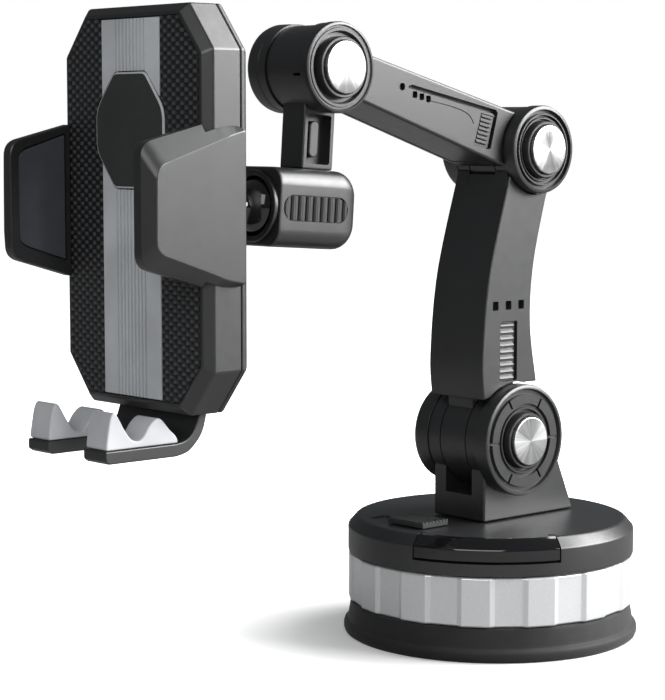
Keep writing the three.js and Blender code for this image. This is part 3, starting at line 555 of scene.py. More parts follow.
def make_suction_cup():
    profile = [
        (0, 1.2), (42.2, 1.2), (42.2, 0.15), (42.6, 0), (43.8, 0), (44.6, 0.5), (45, 1.5), (45, 2.7),
        (44.8, 3.4), (44.3, 3.8), (43.9, 4.0), (43.7, 4.3), (43.6, 5.2), (43.4, 6.6), (43.1, 8.2),
        (43.0, 9.2), (42.8, 9.7), (42.3, 9.9), (41, 9.9), (41, 4.6), (9.5, 4.6), (9.5, 8.6),
        (3.4, 8.6), (3.4, 7.3), (6.5, 7.3), (6.5, 2.4), (0, 2.4),
    ]
    cup = turned("cup_rubber", profile, "Z", sides=160)
    place(cup, "base", RUBBER, "black_rubber", "suction_cup")
    rings = [(0, 1.0), (42, 1.0), (42, 0.3), (41.4, 0)]
    for i in range(6):
        radius = 38.0 - 5.6 * i
        rings += [(radius, 0), (radius - 0.35, 0.4), (radius - 0.9, 0.4), (radius - 1.25, 0)]
    pad = turned("gel_face", rings + [(0, 0)], "Z", sides=128)
    place(pad, "base", GEL, "clear_gel", "gel_pad")


def make_grip_ring():
    """Flat panels stand proud and sunk in turn, with a narrow sloping rib between neighbours."""
    half = math.pi / RING_PANELS
    rib = 0.017
    levels = []
    for inset, z in [(0.5, 0.0), (0.0, 0.5), (0.0, 14.2), (0.5, 14.7)]:
        ring = []
        for i in range(RING_PANELS):
            radius = (RING_HIGH_R if i % 2 else RING_LOW_R) - inset
            for side in (-half + rib, half - rib):
                angle = 2 * i * half + side
                reach = radius / math.cos(half - rib)
                ring.append((reach * math.sin(angle), -reach * math.cos(angle), RING_Z[0] + z))
        levels.append(ring)
    band = stack("ring_panels", levels)
    cut(band, disc_solid("bore", 40.9, "Z", 0, 40, sides=128))
    soften(band, 0.18, 2, 8.0)
    place(band, "base", SILVER, "silver_plastic", "grip_ring")


def make_top_cover():
    profile = [
        (39, 25.2), (43.2, 25.2), (43.55, 25.35), (COVER_R, 25.8), (COVER_R, 32.7), (43.55, 33.3),
        (41.5, 35.6), (41.1, 35.95), (40.6, 36.15), (40, 36.2), (9.3, 36.2), (9.3, 34.2), (38, 34.2),
        (39, 32.6),
    ]
    cover = turned("cover_shell", profile, "Z", sides=160)
    recess_profile = [(40.9, 28.9), (46, 28.9), (46, 38), (39.9, 38), (39.9, 34.6), (40.9, 33)]
    recess = keep(turned("recess", recess_profile, "Z", sides=160), wedge("w", LEVER_HALF + 0.6, 20, 40))
    tools = [recess, towards_lever(cuboid("tail", -3.5, 3.5, 36, 42, 28.9, 34.6))]
    tools.append(cuboid("slider_slot", -9.4, 0.3, -31.3, -27.7, 30, 40))
    for low, high in both_sides(17.75, 19.65):
        tools.append(towards_lever(cuboid("ear", low, high, 33.1, 38.5, 34, 38)))
    cut(cover, *tools)
    # a shallow track beside the slider
    cut(cover, prism("track", rounded_box(6.6, 3.6, 1.2, (-13.2, -29.6)), "Z", 35.7, 38))
    place_black(cover, "base", "top_cover")


def make_lock_lever():
    profile = [
        (41.3, 29.3), (43.3, 29.3), (43.7, 29.7), (43.7, 32.7), (43.55, 33.3), (41.5, 35.6), (41.1, 35.95),
        (40.85, 36.2), (40.3, 36.2), (40.3, 34.9), (41.3, 33.2),
    ]
    shell = keep(turned("lever_shell", profile, "Z", sides=160), wedge("w", LEVER_HALF, 20, 40))
    soften(shell, 0.5, 3, 40.0)
    parts = [towards_lever(cuboid("tail", -3, 3, 28.5, 42, 29.5, 31))]
    for low, high in both_sides(17.9, 19.5):
        parts.append(towards_lever(cuboid("ear", low, high, 33.6, 36.2, 34.4, 36.0)))
    for low, high in both_sides(19, 21):
        parts.append(towards_lever(disc_solid("pin", 0.6, "X", low, high, (34.5, 35.1), 16)))
    join(shell, *parts)
    place(shell, "lever", GLOSS, "gloss_black", "lock_lever")


def make_lock_slider():
    side = [(-9, 36.45), (6.1, 36.45), (6.1, 38.3), (-9, 38.1)]
    block = prism("slider_block", side, "Y", -34.9, -24.3)
    soften(block, 0.3, 2)
    join(block, cuboid("stem", -6, -0.2, -31, -28, 33.9, 37))
    grooves = []
    for i in range(7):
        y = -33.8 + 1.4 * i
        groove = [(y - 0.45, 39), (y + 0.45, 39), (y + 0.1, 37.75), (y - 0.1, 37.75)]
        grooves.append(prism("knurl", groove, "X", 2.4, 8))
    cut(block, *grooves)
    place(block, "lock", PLATE, "black_plastic", "lock_slider")


# ---------- turret ----------
def drum(h, low, high, radius=None):
    return disc_solid("drum", radius or h["drum"], "X", low, high, (h["y"], h["z"]), 96)


def bolt_hole(h):
    return drum(h, -30, 30, BOLT_HOLE_R)


def make_turret():
    bottom = 36.45
    side = [(-13.8, bottom), (25.9, bottom), (12.6, 66.8), (LOWER["y"], LOWER["z"]), (-13.8, 53)]
    body = prism("turret_block", side, "X", -LOWER["cheek"], LOWER["cheek"])
    soften(body, 0.7, 3)
    spigot = [(0, 31.4), (6, 31.4), (6, 34), (9, 34), (9, 40), (0, 40)]
    rim = 0.5
    half = LOWER["cheek"]
    r = LOWER["drum"]
    head = [(0, -half), (r - rim, -half), (r, -half + rim), (r, half - rim), (r - rim, half), (0, half)]
    round_head = turned("head", head, "X", (LOWER["y"], LOWER["z"]), 96)
    join(body, round_head, turned("spigot", spigot, "Z", sides=48))
    notch = cuboid("notch", -SLOT_HALF, SLOT_HALF, -30, 40, 44.1, 90)
    cut(body, notch, bolt_hole(LOWER))
    place_black(body, "turret", "turret")


# ---------- hinges ----------
def make_hinge(name, body, h, face, spokes=0):
    """The face lists (share of the rim radius, depth under the rim) points between rim and bezel."""
    out = h["face"]
    r = h["cap"]
    seat = out + 0.2
    low = h["cheek"] + 0.1
    profile = [(2.7, low), (r - 0.15, low), (r, low + 0.2), (r, out - 0.8)]
    profile += [(r - 0.25, out - 0.25), (r - 0.8, out)]
    profile += [(r * share, out - depth) for share, depth in face]
    profile += [
        (DISC_R + 1.35, out - 1.6), (DISC_R + 1.2, out + 1.0), (DISC_R + 0.95, out + 1.3),
        (DISC_R + 0.4, out + 1.3), (DISC_R + 0.1, out + 1.0), (DISC_R + 0.1, seat), (5.3, seat),
        (5.3, seat - 2), (2.7, seat - 2),
    ]
    cap = turned(name + "_face", profile, "X", (h["y"], h["z"]), 128)
    if spokes:
        inner, outer = [share * r for share in (0.64, 0.85)]
        for i in range(spokes):
            slot = cuboid("spoke", out - 0.9, out + 1, -0.4, 0.4, inner, outer)
            turn = Matrix.Rotation(math.radians(30 + 360 * i / spokes), 4, "X")
            moved(slot, Matrix.Translation(Vector((0, h["y"], h["z"])) * MM) @ turn)
            cut(cap, slot)
    place_black(cap, body, name + "_near_cap")
    f = h["far"]
    out = h["far_face"]
    back = turned(name + "_back", [
        (0, -out), (f * 0.55, -out), (f * 0.57, -out + 0.5), (f * 0.62, -out + 0.5), (f * 0.64, -out),
        (f - 2.2, -out), (f - 1.1, -out + 0.3), (f - 0.3, -out + 1.1), (f, -out + 2.2),
        (f, -h["cheek"] - 0.3), (f - 0.15, -h["cheek"] - 0.1), (2.7, -h["cheek"] - 0.1),
        (2.7, -out + 2), (0, -out + 2),
    ], "X", (h["y"], h["z"]), 128)
    place_black(back, body, name + "_far_cap")
    top = h["face"] + DISC_PROUD
    disc = turned(name + "_spun", [
        (0, seat + 0.1), (DISC_R, seat + 0.1), (DISC_R, top - 0.45), (DISC_R - 0.12, top - 0.15),
        (DISC_R - 0.45, top), (DISC_R * 0.5, top + 0.02), (0, top + 0.03),
    ], "X", (h["y"], h["z"]), 128)
    place(disc, body, spun_aluminium(name + "_aluminium", h["y"], h["z"]), "aluminium", name + "_disc")
    dress(name + "_bolt", STEEL)


# ---------- lower arm ----------
LOWER_FRONT = curve([(-4.0, 140.2), (-12.6, 110.6), (-15.4, 86), (-14.6, 73.4)], 12)
LOWER_BACK = curve([(8.2, 77.6), (5.3, 95.4), (6.6, 114), (12.4, 136)], 12)
VENT = {"y": (-8.0, -0.6), "z": (78.6, 96.6)}


def edge_at(edge, z):
    points = sorted(edge, key=lambda p: p[1])
    for (ya, za), (yb, zb) in zip(points, points[1:]):
        if za <= z <= zb:
            return ya + (yb - ya) * (z - za) / (zb - za)
    return points[-1][0]


def edge_points(edge, z0, z1, shift, count=12):
    heights = [z0 + (z1 - z0) * i / count for i in range(count + 1)]
    return [(edge_at(edge, z) + shift, z) for z in heights]


def make_lower_arm():
    half = LOWER_ARM_HALF
    side = LOWER_FRONT + [(3.9, 77.7)] + LOWER_BACK + [(14, 142), (ELBOW["y"], ELBOW["z"])]
    body = prism("lower_arm", side, "X", -half, half)
    soften(body, 1.3, 4, 40.0)
    for low, high in both_sides(TONGUE_HALF + 0.35, 20):
        cut(body, drum(LOWER, low, high, 17.4))
    cut(body, drum(ELBOW, -20, 20, 13.6))
    cavity = edge_points(LOWER_FRONT, 84, 127, 2) + edge_points(LOWER_BACK, 84, 127, 4)[::-1]
    cut(body, prism("cavity", cavity, "X", -half + 2, half - 2))
    for low, high in both_sides(SLOT_HALF, ELBOW["cheek"]):
        neck = [(-5.4, 136), (-4.6, 141.3), (ELBOW["y"], ELBOW["z"]), (14.2, 139.5), (12.8, 134)]
        join(body, drum(ELBOW, low, high), prism("neck", neck, "X", low, high))
    lip_side = [(-5.6, 135), (-4.6, 140.4), (-2, 140.4), (2, 135)]
    lip = prism("lip", lip_side, "X", -SLOT_HALF - 0.2, SLOT_HALF + 0.2)
    join(body, cut(lip, drum(ELBOW, -20, 20, ELBOW["drum"] + 0.3)))
    tongue = [(-13.6, 78), (-12.5, LOWER["z"]), (10, LOWER["z"]), (3.9, 78)]
    join(
        body,
        drum(LOWER, -TONGUE_HALF, TONGUE_HALF),
        prism("tongue", tongue, "X", -TONGUE_HALF, TONGUE_HALF),
    )
    cut(body, bolt_hole(LOWER), bolt_hole(ELBOW))
    for low, high in both_sides(half - 1.2, 20):
        vent = rounded_box(3.7, 9.0, 0.5, (sum(VENT["y"]) / 2, sum(VENT["z"]) / 2), 3)
        cut(body, prism("vent_pocket", vent, "X", low, high))
        for y in (-10, -4.5, 1):
            hole = rounded_box(1.25, 1.35, 0.35, (y, 101.4), 3)
            cut(body, prism("window", hole, "X", low - 0.4, high))
    place_black(body, "lower_arm", "lower_arm_shell")
    for side_name, mirror in (("right", False), ("left", True)):
        make_lower_vent(side_name, mirror)
    outer = edge_points(LOWER_BACK, 84.3, 126.7, -0.1)
    inner = edge_points(LOWER_BACK, 84.3, 126.7, -1.6)[::-1]
    cover = prism("lower_back_panel", outer + inner, "X", -half + 2.15, half - 2.15)
    soften(cover, 0.3, 2, 40.0)
    place_black(cover, "lower_arm", "lower_arm_back_cover")


def make_lower_vent(side, mirror):
    """Upright black backing with a column of rounded ribs, open on the rear edge."""
    x = LOWER_ARM_HALF - 1.2
    y0, y1 = VENT["y"]
    z0, z1 = VENT["z"]
    plate = cuboid("lower_vent_" + side, x + 0.1, x + 0.35, y0 + 0.15, y1 - 0.15, z0 + 0.15, z1 - 0.15)
    for i in range(9):
        z = z0 + 1.15 + i * 1.97
        section = [
            (z - 0.6, x + 0.2), (z + 0.62, x + 0.2), (z + 0.62, x + 0.35), (z - 0.3, x + 1.15),
            (z - 0.5, x + 1.1),
        ]
        rib = prism("rib", section, "X", y0 + 0.3, y1 - 1.3)
        turn = Matrix(((0, 0, 1, 0), (1, 0, 0, 0), (0, 1, 0, 0), (0, 0, 0, 1)))
        join(plate, moved(rib, turn))
    soften(plate, 0.12, 2, 30.0)
    if mirror:
        flipped = mirrored(plate, plate.name)
        bpy.data.meshes.remove(plate.data)
        plate = flipped
    place_black(plate, "lower_arm", "lower_arm_vent_" + side)


# ---------- upper arm ----------
def top_edge(y):
    return 174.2 - 0.2646 * (y + 58.3)


def under_edge(y):
    return 160.0 - 0.327 * (y + 58.3)


def band(y0, y1, top, under):
    return [(y0, top(y0)), (y0, under(y0)), (y1, under(y1)), (y1, top(y1))]


UPPER_VENT = [(-18.6, 149.2), (-12.2, 147.9), (-9.4, 157.4), (-15.6, 158.6)]


def make_upper_arm():
    half = UPPER_ARM_HALF
    body = prism("upper_arm", band(WRIST["y"], 3, top_edge, under_edge), "X", -half, half)
    soften(body, 0.9, 4)
    cut(body, drum(ELBOW, -20, 20, 13.6), drum(WRIST, -20, 20, WRIST["cap"] + 0.3))
    hollow = band(-57, -9.5, lambda y: top_edge(y) - 3, lambda y: under_edge(y) - 3)
    cut(body, prism("hollow", hollow, "X", -half + 2, half - 2))
    for low, high in both_sides(6.0, WRIST["cheek"]):
        root = band(WRIST["y"], -58, lambda y: top_edge(y) - 1, lambda y: under_edge(y) + 1)
        join(body, drum(WRIST, low, high), prism("root", root, "X", low, high))
    tongue = band(-9, ELBOW["y"], lambda y: top_edge(y) - 1, lambda y: under_edge(y) + 1)
    join(
        body,
        drum(ELBOW, -TONGUE_HALF, TONGUE_HALF),
        prism("tongue", tongue, "X", -TONGUE_HALF, TONGUE_HALF),
    )
    strip_room = band(-57.2, -8, lambda y: top_edge(y) + 2, lambda y: top_edge(y) - 1)
    cut(body, prism("strip_room", strip_room, "X", -6.2, 6.2))
    cut(body, drum(WRIST, -6.0, 6.0, WRIST["drum"] + 0.3), bolt_hole(ELBOW), bolt_hole(WRIST))
    for low, high in both_sides(half - 1, 20):
        cut(body, prism("vent_room", UPPER_VENT, "X", low, high))
    line = curve([(-36.4, 161.9), (-27.0, 160.2), (-21.0, 158.2), (-18.6, 155.4)], 6)
    long_slot = [
        (-45.1, 166.2), (-43.6, 166.5), (-9.2, 159.5), (-8.5, 158.6), (-11.5, 148.0), (-12.1, 148.2),
        (-9.9, 157.6), (-10.7, 158.4), (-44.0, 165.3), (-45.2, 165.5),
    ]
    for low, high in both_sides(half - 1.7, 20):
        cut(body, prism("long_slot", long_slot, "X", low, high))
        cut(body, disc_solid("eyelet", 1.1, "X", low, high, (-47.6, 165.9), 24))
        for i in range(3):
            dot = (-42.6 + 2.7 * i, 163.7 - 0.6 * i)
            cut(body, prism("dot", rounded_box(0.95, 0.95, 0.4, dot, 3), "X", low, high))
    for low, high in both_sides(half - 0.3, 20):
        cut(body, prism("line", ribbon(line, 0.3), "X", low, high))
    place_black(body, "upper_arm", "upper_arm_shell")
    strip = prism("upper_strip", band(-57, -8.2, top_edge, lambda y: top_edge(y) - 0.9), "X", -6, 6)
    for x in (-4, 4):
        room = band(-55, -10, lambda y: top_edge(y) + 1, lambda y: top_edge(y) - 0.4)
        cut(strip, prism("groove", room, "X", x - 0.35, x + 0.35))
    soften(strip, 0.12, 2)
    place_black(strip, "upper_arm", "upper_arm_top_strip")
    under = band(-56.8, -9.7, lambda y: under_edge(y) + 1.5, lambda y: under_edge(y) + 0.1)
    cover = prism("upper_under_panel", under, "X", -half + 2.15, half - 2.15)
    soften(cover, 0.3, 2)
    place_black(cover, "upper_arm", "upper_arm_under_cover")
    make_upper_vents()


def make_upper_vents():
    x = UPPER_ARM_HALF - 1
    shrunk = [(-18.4, 149.35), (-12.3, 148.05), (-9.6, 157.3), (-15.5, 158.4)]
    plate = prism("upper_vent_right", shrunk, "X", x + 0.1, x + 0.3)
    for i in range(7):
        z = 150.3 + i * 1.22
        y = -18.0 + (z - 149.2) * 0.31
        rib = [(y, z), (y + 4.6, z - 1.0), (y + 4.6, z - 0.3), (y, z + 0.7)]
        join(plate, prism("rib", rib, "X", x + 0.2, x + 1.0))
    soften(plate, 0.12, 2)
    other = mirrored(plate, "upper_vent_left")
    place_black(plate, "upper_arm", "upper_arm_vent_right")
    place_black(other, "upper_arm", "upper_arm_vent_left")


# ---------- neck, barrel and ball ----------
def make_neck():
    top = BARREL["z"] + BARREL["half_z"]
    hx, hy = NECK_HALF_X, NECK_HALF_Y
    bar = cuboid("neck_stem", -hx, hx, NECK_Y - hy, NECK_Y + hy, top + 0.1, WRIST["z"])
    soften(bar, 0.6, 3)
    join(bar, drum(WRIST, -5.5, 5.5, WRIST["drum"] - 0.5))
    cut(bar, bolt_hole(WRIST))
    z0, z1 = top + 1.6, WRIST["z"] - 13.0
    middle = (z0 + z1) / 2
    pocket = rounded_box(hy - 1.4, (z1 - z0) / 2, 0.8, (NECK_Y, middle), 4)
    for low, high in both_sides(1.6, 9):
        cut(bar, prism("pocket", pocket, "X", low, high))
    pad_side = rounded_box(1.7, (z1 - z0) / 2 - 1.8, 1.6, (NECK_Y - 0.7, middle), 6)
    pad = prism("pad", pad_side, "X", -3.6, 3.6)
    soften(pad, 0.5, 3)
    join(bar, pad)
    place_black(leaned(bar), "neck", "neck_bar")


def window(inset, steps=12):
    r = WINDOW_R - inset
    y0, y1 = BARREL["y0"] + WINDOW_R + 1.4, BARREL["y1"] - WINDOW_R - 4.4
    points = []
    for middle, start in ((y1, -90), (y0, 90)):
        for i in range(steps + 1):
            angle = math.radians(start + 180 * i / steps)
            points.append((middle + r * math.cos(angle), BARREL["z"] + r * math.sin(angle)))
    return points


def make_barrel():
    y0, y1, z = BARREL["y0"], BARREL["y1"], BARREL["z"]
    wide, tall = BARREL["half_x"], BARREL["half_z"]
    levels = []
    for inset, y in [(1.0, y0), (0.3, y0 + 0.3), (0, y0 + 1.0)]:
        ring = rounded_box(wide - inset, tall - inset, 5 - inset / 2, (0, z), 8)
        levels.append([(a, y, b) for a, b in ring])
    for i in range(9):
        angle = math.pi / 2 * i / 8
        inset = 6.0 * (1 - math.cos(angle))
        y = y1 - 6.0 + 6.0 * math.sin(angle)
        ring = rounded_box(wide - inset * 0.55, tall - inset, 5 - inset * 0.3, (0, z), 8)
        levels.append([(a, y, b) for a, b in ring])
    body = stack("barrel", levels)
    ball_y = y0 + 2.9
    bore = [
        (0, y1 - 2.5), (9.3, y1 - 4), (9.3, ball_y + 0.5), (8.85, ball_y), (8.75, ball_y - 1.2),
        (8.35, y0 + 0.3), (8.35, y0 - 2), (0, y0 - 2),
    ]
    cut(body, turned("bore", bore, "Y", (0, z), 96))
    for low, high in both_sides(9.9, 20):
        cut(body, prism("window", window(0), "X", low, high))
    place_black(leaned(body), "neck", "ball_barrel")
    make_grilles()


def make_grilles():
    """Rounded bars stand side by side in the window, kept inside its oblong outline."""
    plate = prism("grille_right", window(0.2), "X", 10.0, 10.25)
    for i in range(9):
        y = BARREL["y0"] + 2.6 + i * 2.7
        bar = [
            (y - 1.0, 10.1), (y - 0.95, 10.6), (y - 0.5, 10.95), (y + 0.2, 10.8), (y + 0.7, 10.4),
            (y + 0.9, 10.1),
        ]
        rib = prism("rib", [(x, a) for a, x in bar], "Z", BARREL["z"] - 5, BARREL["z"] + 5)
        join(plate, keep(rib, prism("edge", window(0.25), "X", 10.0, 12)))
    other = mirrored(plate, "grille_left")
    place_black(leaned(plate), "neck", "barrel_grille_right")
    place_black(leaned(other), "neck", "barrel_grille_left")


def make_ball():
    y = BARREL["y0"] - 0.1
    ring = turned("socket_lip", [
        (8.2, y), (8.2, y - 0.5), (8.35, y - 0.95), (8.7, y - 1.2), (9.5, y - 1.2), (9.85, y - 1.05),
        (10, y - 0.7), (10, y),
    ], "Y", (0, BARREL["z"]), 96)
    place_black(leaned(ring), "neck", "socket_ring")
    y = BALL["y"]
    r = BALL["r"]
    profile = [(0, y + r)]
    for i in range(1, 28):
        angle = math.pi * i / 32
        profile.append((r * math.sin(angle), y + r * math.cos(angle)))
    profile += [
        (3.6, y - 8.3), (3.6, y - 9.8), (4.5, y - 10.2), (4.8, y - 10.6), (4.8, y - 11.8), (4.5, y - 12.2),
        (3.6, y - 12.6), (3.6, -124.1), (6.4, -124.1), (6.4, -125.7), (0, -125.7),
    ]
    stud = turned("stud", profile, "Y", (0, BALL["z"]), 96)
    place(stud, "stud", GLOSS, "gloss_black", "ball_stud")
    dress("ball_cup", STEEL)


# ---------- clamp ----------
def octagon(inset, y=None):
    w = RIM_HALF_W - inset
    h = RIM_HALF_H - inset
    a = CUT_W - 0.35 * inset
    b = CUT_H - 0.45 * inset
    points = []
    for sx, sz in ((1, 1), (-1, 1), (-1, -1), (1, -1)):
        pair = [(sx * w, sz * (h - b)), (sx * (w - a), sz * h)]
        points += pair if sx * sz > 0 else pair[::-1]
    if y is None:
        return [(x, z + CLAMP_Z) for x, z in points]
    return [(x, y, z + CLAMP_Z) for x, z in points]


def plate_outline(inset):
    w = PLATE_HALF_W - inset
    low, high = PLATE_Z[0] + inset, PLATE_Z[1] - inset
    top = PLATE_TOP_HALF
    corners = [
        (w, low + PLATE_CUT), (w, high - PLATE_CUT), (top, high), (-top, high),
        (-w, high - PLATE_CUT), (-w, low + PLATE_CUT), (-top, low), (top, low),
    ]
    return rounded(corners, [3.0, 3.0, 1.5, 1.5, 3.0, 3.0, 1.5, 1.5], 5)


def rack_slots():
    made = []
    for low, high, z0, z1 in ((20, 40, 6.4, 13.3), (-40, -20, -13.3, -6.4)):
        made.append(cuboid("rack_slot", low, high, -131.8, -127.2, CLAMP_Z + z0, CLAMP_Z + z1))
    return made


def make_front_shell():
    shell = stack("front_shell", [octagon(0, SPLIT_Y - 0.05), octagon(0, BEVEL_Y), octagon(2.2, FRONT_Y)])
    soften(shell, 0.45, 3, 20.0)
    cut(shell, prism("cavity", octagon(CLAMP_WALL), "Y", -133.2, -120))
    for x, z in SCREW_POSTS:
        post = [(1.3, -133.6), (2.8, -133.6), (2.8, -124.0), (1.3, -124.0)]
        join(shell, turned("post", post, "Y", (x, z), 24))
    join(shell, disc_solid("axle", 2, "Y", -133.6, -126.8, (0, CLAMP_Z), 24))
    cut(shell, prism("panel_room", octagon(3.0), "Y", -140, FRONT_Y + 0.9))
    cut(shell, prism("plate_room", plate_outline(-0.3), "Y", -140, -120), *rack_slots())
    cut(shell, cuboid("foot_slot", -HOOK_OUT - 0.4, HOOK_OUT + 0.4, -127.9, -124.5, 76, 84))
    place_black(shell, "clamp", "clamp_front_shell", crease=24)


def make_back_shell():
    shell = stack("back_shell", [octagon(0, SPLIT_Y + 0.05), octagon(0, -123), octagon(1.2, BACK_Y)])
    soften(shell, 0.4, 3, 20.0)
    cut(shell, prism("cavity", octagon(CLAMP_WALL), "Y", -140, -123.6))
    boss = [
        (3.9, -122), (13.3, -122), (12.9, -121.5), (12.6, -120), (12, -116), (9.9, -108.2), (9.3, -107.6),
        (3.9, -107.6),
    ]
    join(shell, turned("boss", boss, "Y", (0, BALL["z"]), 96))
    cut(shell, disc_solid("bore", 3.9, "Y", -126, -100, (0, BALL["z"])))
    for x, z in SCREW_POSTS:
        cut(shell, disc_solid("hole", 1.5, "Y", -126, -120, (x, z), 24))
        cut(shell, disc_solid("seat", 2.7, "Y", -123.05, -120, (x, z), 32))
    # a shallow line runs round the back, inside its edge
    frame_line = prism("line", octagon(6.5), "Y", BACK_Y - 0.35, -120)
    cut(frame_line, prism("inner", octagon(7.3), "Y", -130, -110))
    cut(frame_line, disc_solid("boss_room", 14.0, "Y", -130, -110, (0, BALL["z"])))
    cut(shell, frame_line)
    place_black(shell, "clamp", "clamp_back_shell")


def make_panels():
    """Woven panels to each side of the stripe. Their bevelled edges stand proud of the rim."""
    for side, span in (("right", (STRIPE_HALF_W + 0.2, 60)), ("left", (-60, -STRIPE_HALF_W - 0.2))):
        panel = prism("weave_" + side, octagon(3.15), "Y", FRONT_Y - 0.3, FRONT_Y + 0.75)
        keep(panel, cuboid("half", *span, -145, -120, 40, 240))
        cut(panel, prism("plate_room", plate_outline(-0.3), "Y", -140, -120))
        soften(panel, 0.28, 2)
        place(panel, "clamp", WEAVE, "carbon_print", "carbon_panel_" + side)


def make_stripes():
    spans = {"upper": (160, CLAMP_Z + RIM_HALF_H - 3.4), "lower": (CLAMP_Z - RIM_HALF_H + 3.4, 150)}
    w = STRIPE_HALF_W
    for part, (low, high) in spans.items():
        stripe = cuboid("stripe_" + part + "_bar", -w, w, FRONT_Y - 0.4, FRONT_Y + 0.75, low, high)
        soften(stripe, 0.2, 2)
        for i in range(-4, 5):
            x = i * 1.5
            wide, deep = 0.42, 0.3
            over, floor = FRONT_Y - 1, FRONT_Y + 0.6
            groove = [(x - wide, over), (x + wide, over), (x + deep, floor), (x - deep, floor)]
            cut(stripe, prism("groove", groove, "Z", 40, 240))
        cut(stripe, prism("plate_room", plate_outline(-0.3), "Y", -140, -120))
        place(stripe, "clamp", GREY, "grey_plastic", "stripe_" + part)


def make_trigger():
    """The release plate's dark face gets pale plastic on its bevelled front edge as a painted highlight.
    """
    plate = prism("release_plate", plate_outline(0), "Y", FRONT_Y - 0.8, -133.3)
    soften(plate, 0.5, 3)
    join(
        plate,
        cuboid("web", -PLATE_HALF_W + 2, PLATE_HALF_W - 2, -134, -132.5, 149.5, 158),
        cuboid("flange", -PLATE_HALF_W - 1.5, PLATE_HALF_W + 1.5, -133, -131.8, 149, 166),
        disc_solid("stem", 2.6, "Y", -132, -128.6, (0, 158), 32),
    )
    place(plate, "trigger", PLATE, "black_plastic", "trigger_plate")
    # painted highlight: the bevel faces round the plate's front edge take the pale colour
    plate.data.materials.append(PALE_PLASTIC_AND_HIGHLIGHT)
    for face in plate.data.polygons:
        if face.center.y < (FRONT_Y - 0.2) * MM and face.normal.y > -0.98:
            face.material_index = 1
    dress("trigger_spring", STEEL)


# ---------- jaws ----------
RACK_Y = (-131.4, -127.6)
JAW_RADII = [3.4, 3.6, 3.4, 0.8, 0.8, 3.4]
JAW_RIM = [
    (-155.4, 119.8), (-155.4, 150.4), (-130.0, 156.6), (-124.5, 155.0), (-124.5, 113.4), (-130.0, 112.4),
]
JAW_FACE = [
    (-153.4, 123.4), (-153.2, 144.8), (-130.0, 152.4), (-124.8, 153.7), (-124.8, 114.6), (-130.0, 115.4),
]
JAW_LINING = [(-152.9, 123.2), (-152.9, 148.2), (-137.6, 152.9), (-137.6, 118.3)]


def tooth_row(up):
    pitch = math.pi
    root = CLAMP_Z + up * 7.2
    tip = CLAMP_Z + up * 5.2
    for i in range(-8, 2):
        x = (i + 0.5) * pitch
        tooth = [(x - 0.95, root), (x + 0.95, root), (x + 0.3, tip), (x - 0.3, tip)]
        yield prism("tooth", tooth, "Y", *RACK_Y)


def inset_from(points, centre, share):
    middle_y, middle_z = centre
    return [(middle_y + (y - middle_y) * share, middle_z + (z - middle_z) * share) for y, z in points]


def make_jaw(side, up):
    rim = rounded(JAW_RIM, JAW_RADII, 8)
    face = rounded(JAW_FACE, JAW_RADII, 8)
    middle = (-140.0, 134.2)
    crown = inset_from(face, middle, 0.975)
    levels = []
    for points, x in (
        (inset_from(rim, middle, 0.985), JAW_IN), (rim, JAW_IN + 0.4), (rim, JAW_EDGE),
        (face, JAW_OUT - 0.15), (crown, JAW_OUT),
    ):
        levels.append([(x, y, z) for y, z in points])
    wall = stack("jaw_shell_" + side, levels)
    soften(wall, 0.22, 2, 24.0)
    cut(wall, cuboid("room", 20, RIM_HALF_W + 0.4, -136.3, -120, 90, 180))
    lining = rounded(JAW_LINING, [3.0, 3.0, 0.5, 0.5], 6)
    cut(wall, prism("recess", lining, "X", 20, JAW_IN + 1.2))
    z0, z1 = sorted((CLAMP_Z + up * 7, CLAMP_Z + up * 13))
    join(wall, cuboid("bar", -24, 32.5, *RACK_Y, z0, z1), *tooth_row(up))
    pad_side = inset_from(lining, (-145.0, 135.6), 0.97)
    pad = prism("jaw_face_" + side, pad_side, "X", JAW_IN + 0.2, JAW_IN + 1.1)
    soften(pad, 0.35, 3)
    if side == "left":
        for thing in (wall, pad):
            moved(thing, Matrix.Scale(-1, 4, (1, 0, 0)))
            thing.data.flip_normals()
    place_black(wall, "jaw_" + side, "jaw_" + side, crease=22)
    # the pad's lighter bluish grey is a painted reflection on glossy black
    place(pad, "jaw_" + side, PAD_REFLECTION_GREY, "gloss_black", "jaw_pad_" + side)


# ---------- foot ----------
def make_foot():
    z0, z1 = HOOK_Z
    lower = curve([(-134.8, z0), (-130.6, 70.6), (-126.6, 74.6), (-124.9, 79.5)], 6)
    upper = curve([(-127.5, 79.8), (-129.0, 76.0), (-131.6, 73.6), (-135.0, z1)], 6)
    side = [(HOOK_FRONT, z1), (HOOK_FRONT, z0 + 0.8), (HOOK_FRONT + 1.2, z0)]
    side += lower + [(-124.9, 104), (-127.5, 104)] + upper
    bracket = prism("foot_arm", side, "X", -HOOK_OUT, HOOK_OUT)
    soften(bracket, 0.4, 3, 40.0)
    cut(bracket, prism("gap", rounded_box(HOOK_IN, 20, 3, (0, -151.5), 6), "Z", 60, 80))
    place_black(bracket, "foot", "foot_bracket")
    base = z1 + 0.1
    wave = curve([
        (-157.1, base + 0.6), (-156.9, 75.4), (-155.9, 80.6), (-154.8, 82.4), (-153.6, 81.8),
        (-151.3, 78.0), (-149.2, 75.4), (-147.2, 74.6), (-145.4, 75.5), (-143.4, 78.2), (-141.2, 79.8),
        (-139.4, 79.4), (-137.0, 76.8), (-135.0, 75.0), (-134.2, base + 0.6),
    ], 5)
    inner, outer = HOOK_IN + 0.3, HOOK_OUT - 0.3
    for side_name, low, high in (("right", inner, outer), ("left", -outer, -inner)):
        pad = prism("foot_hook_" + side_name, [(-157.0, base)] + wave + [(-134.2, base)], "X", low, high)
        soften(pad, 0.5, 3, 50.0)
        place(pad, "foot", PALE_PLASTIC_AND_HIGHLIGHT, "pale_plastic", "foot_pad_" + side_name)


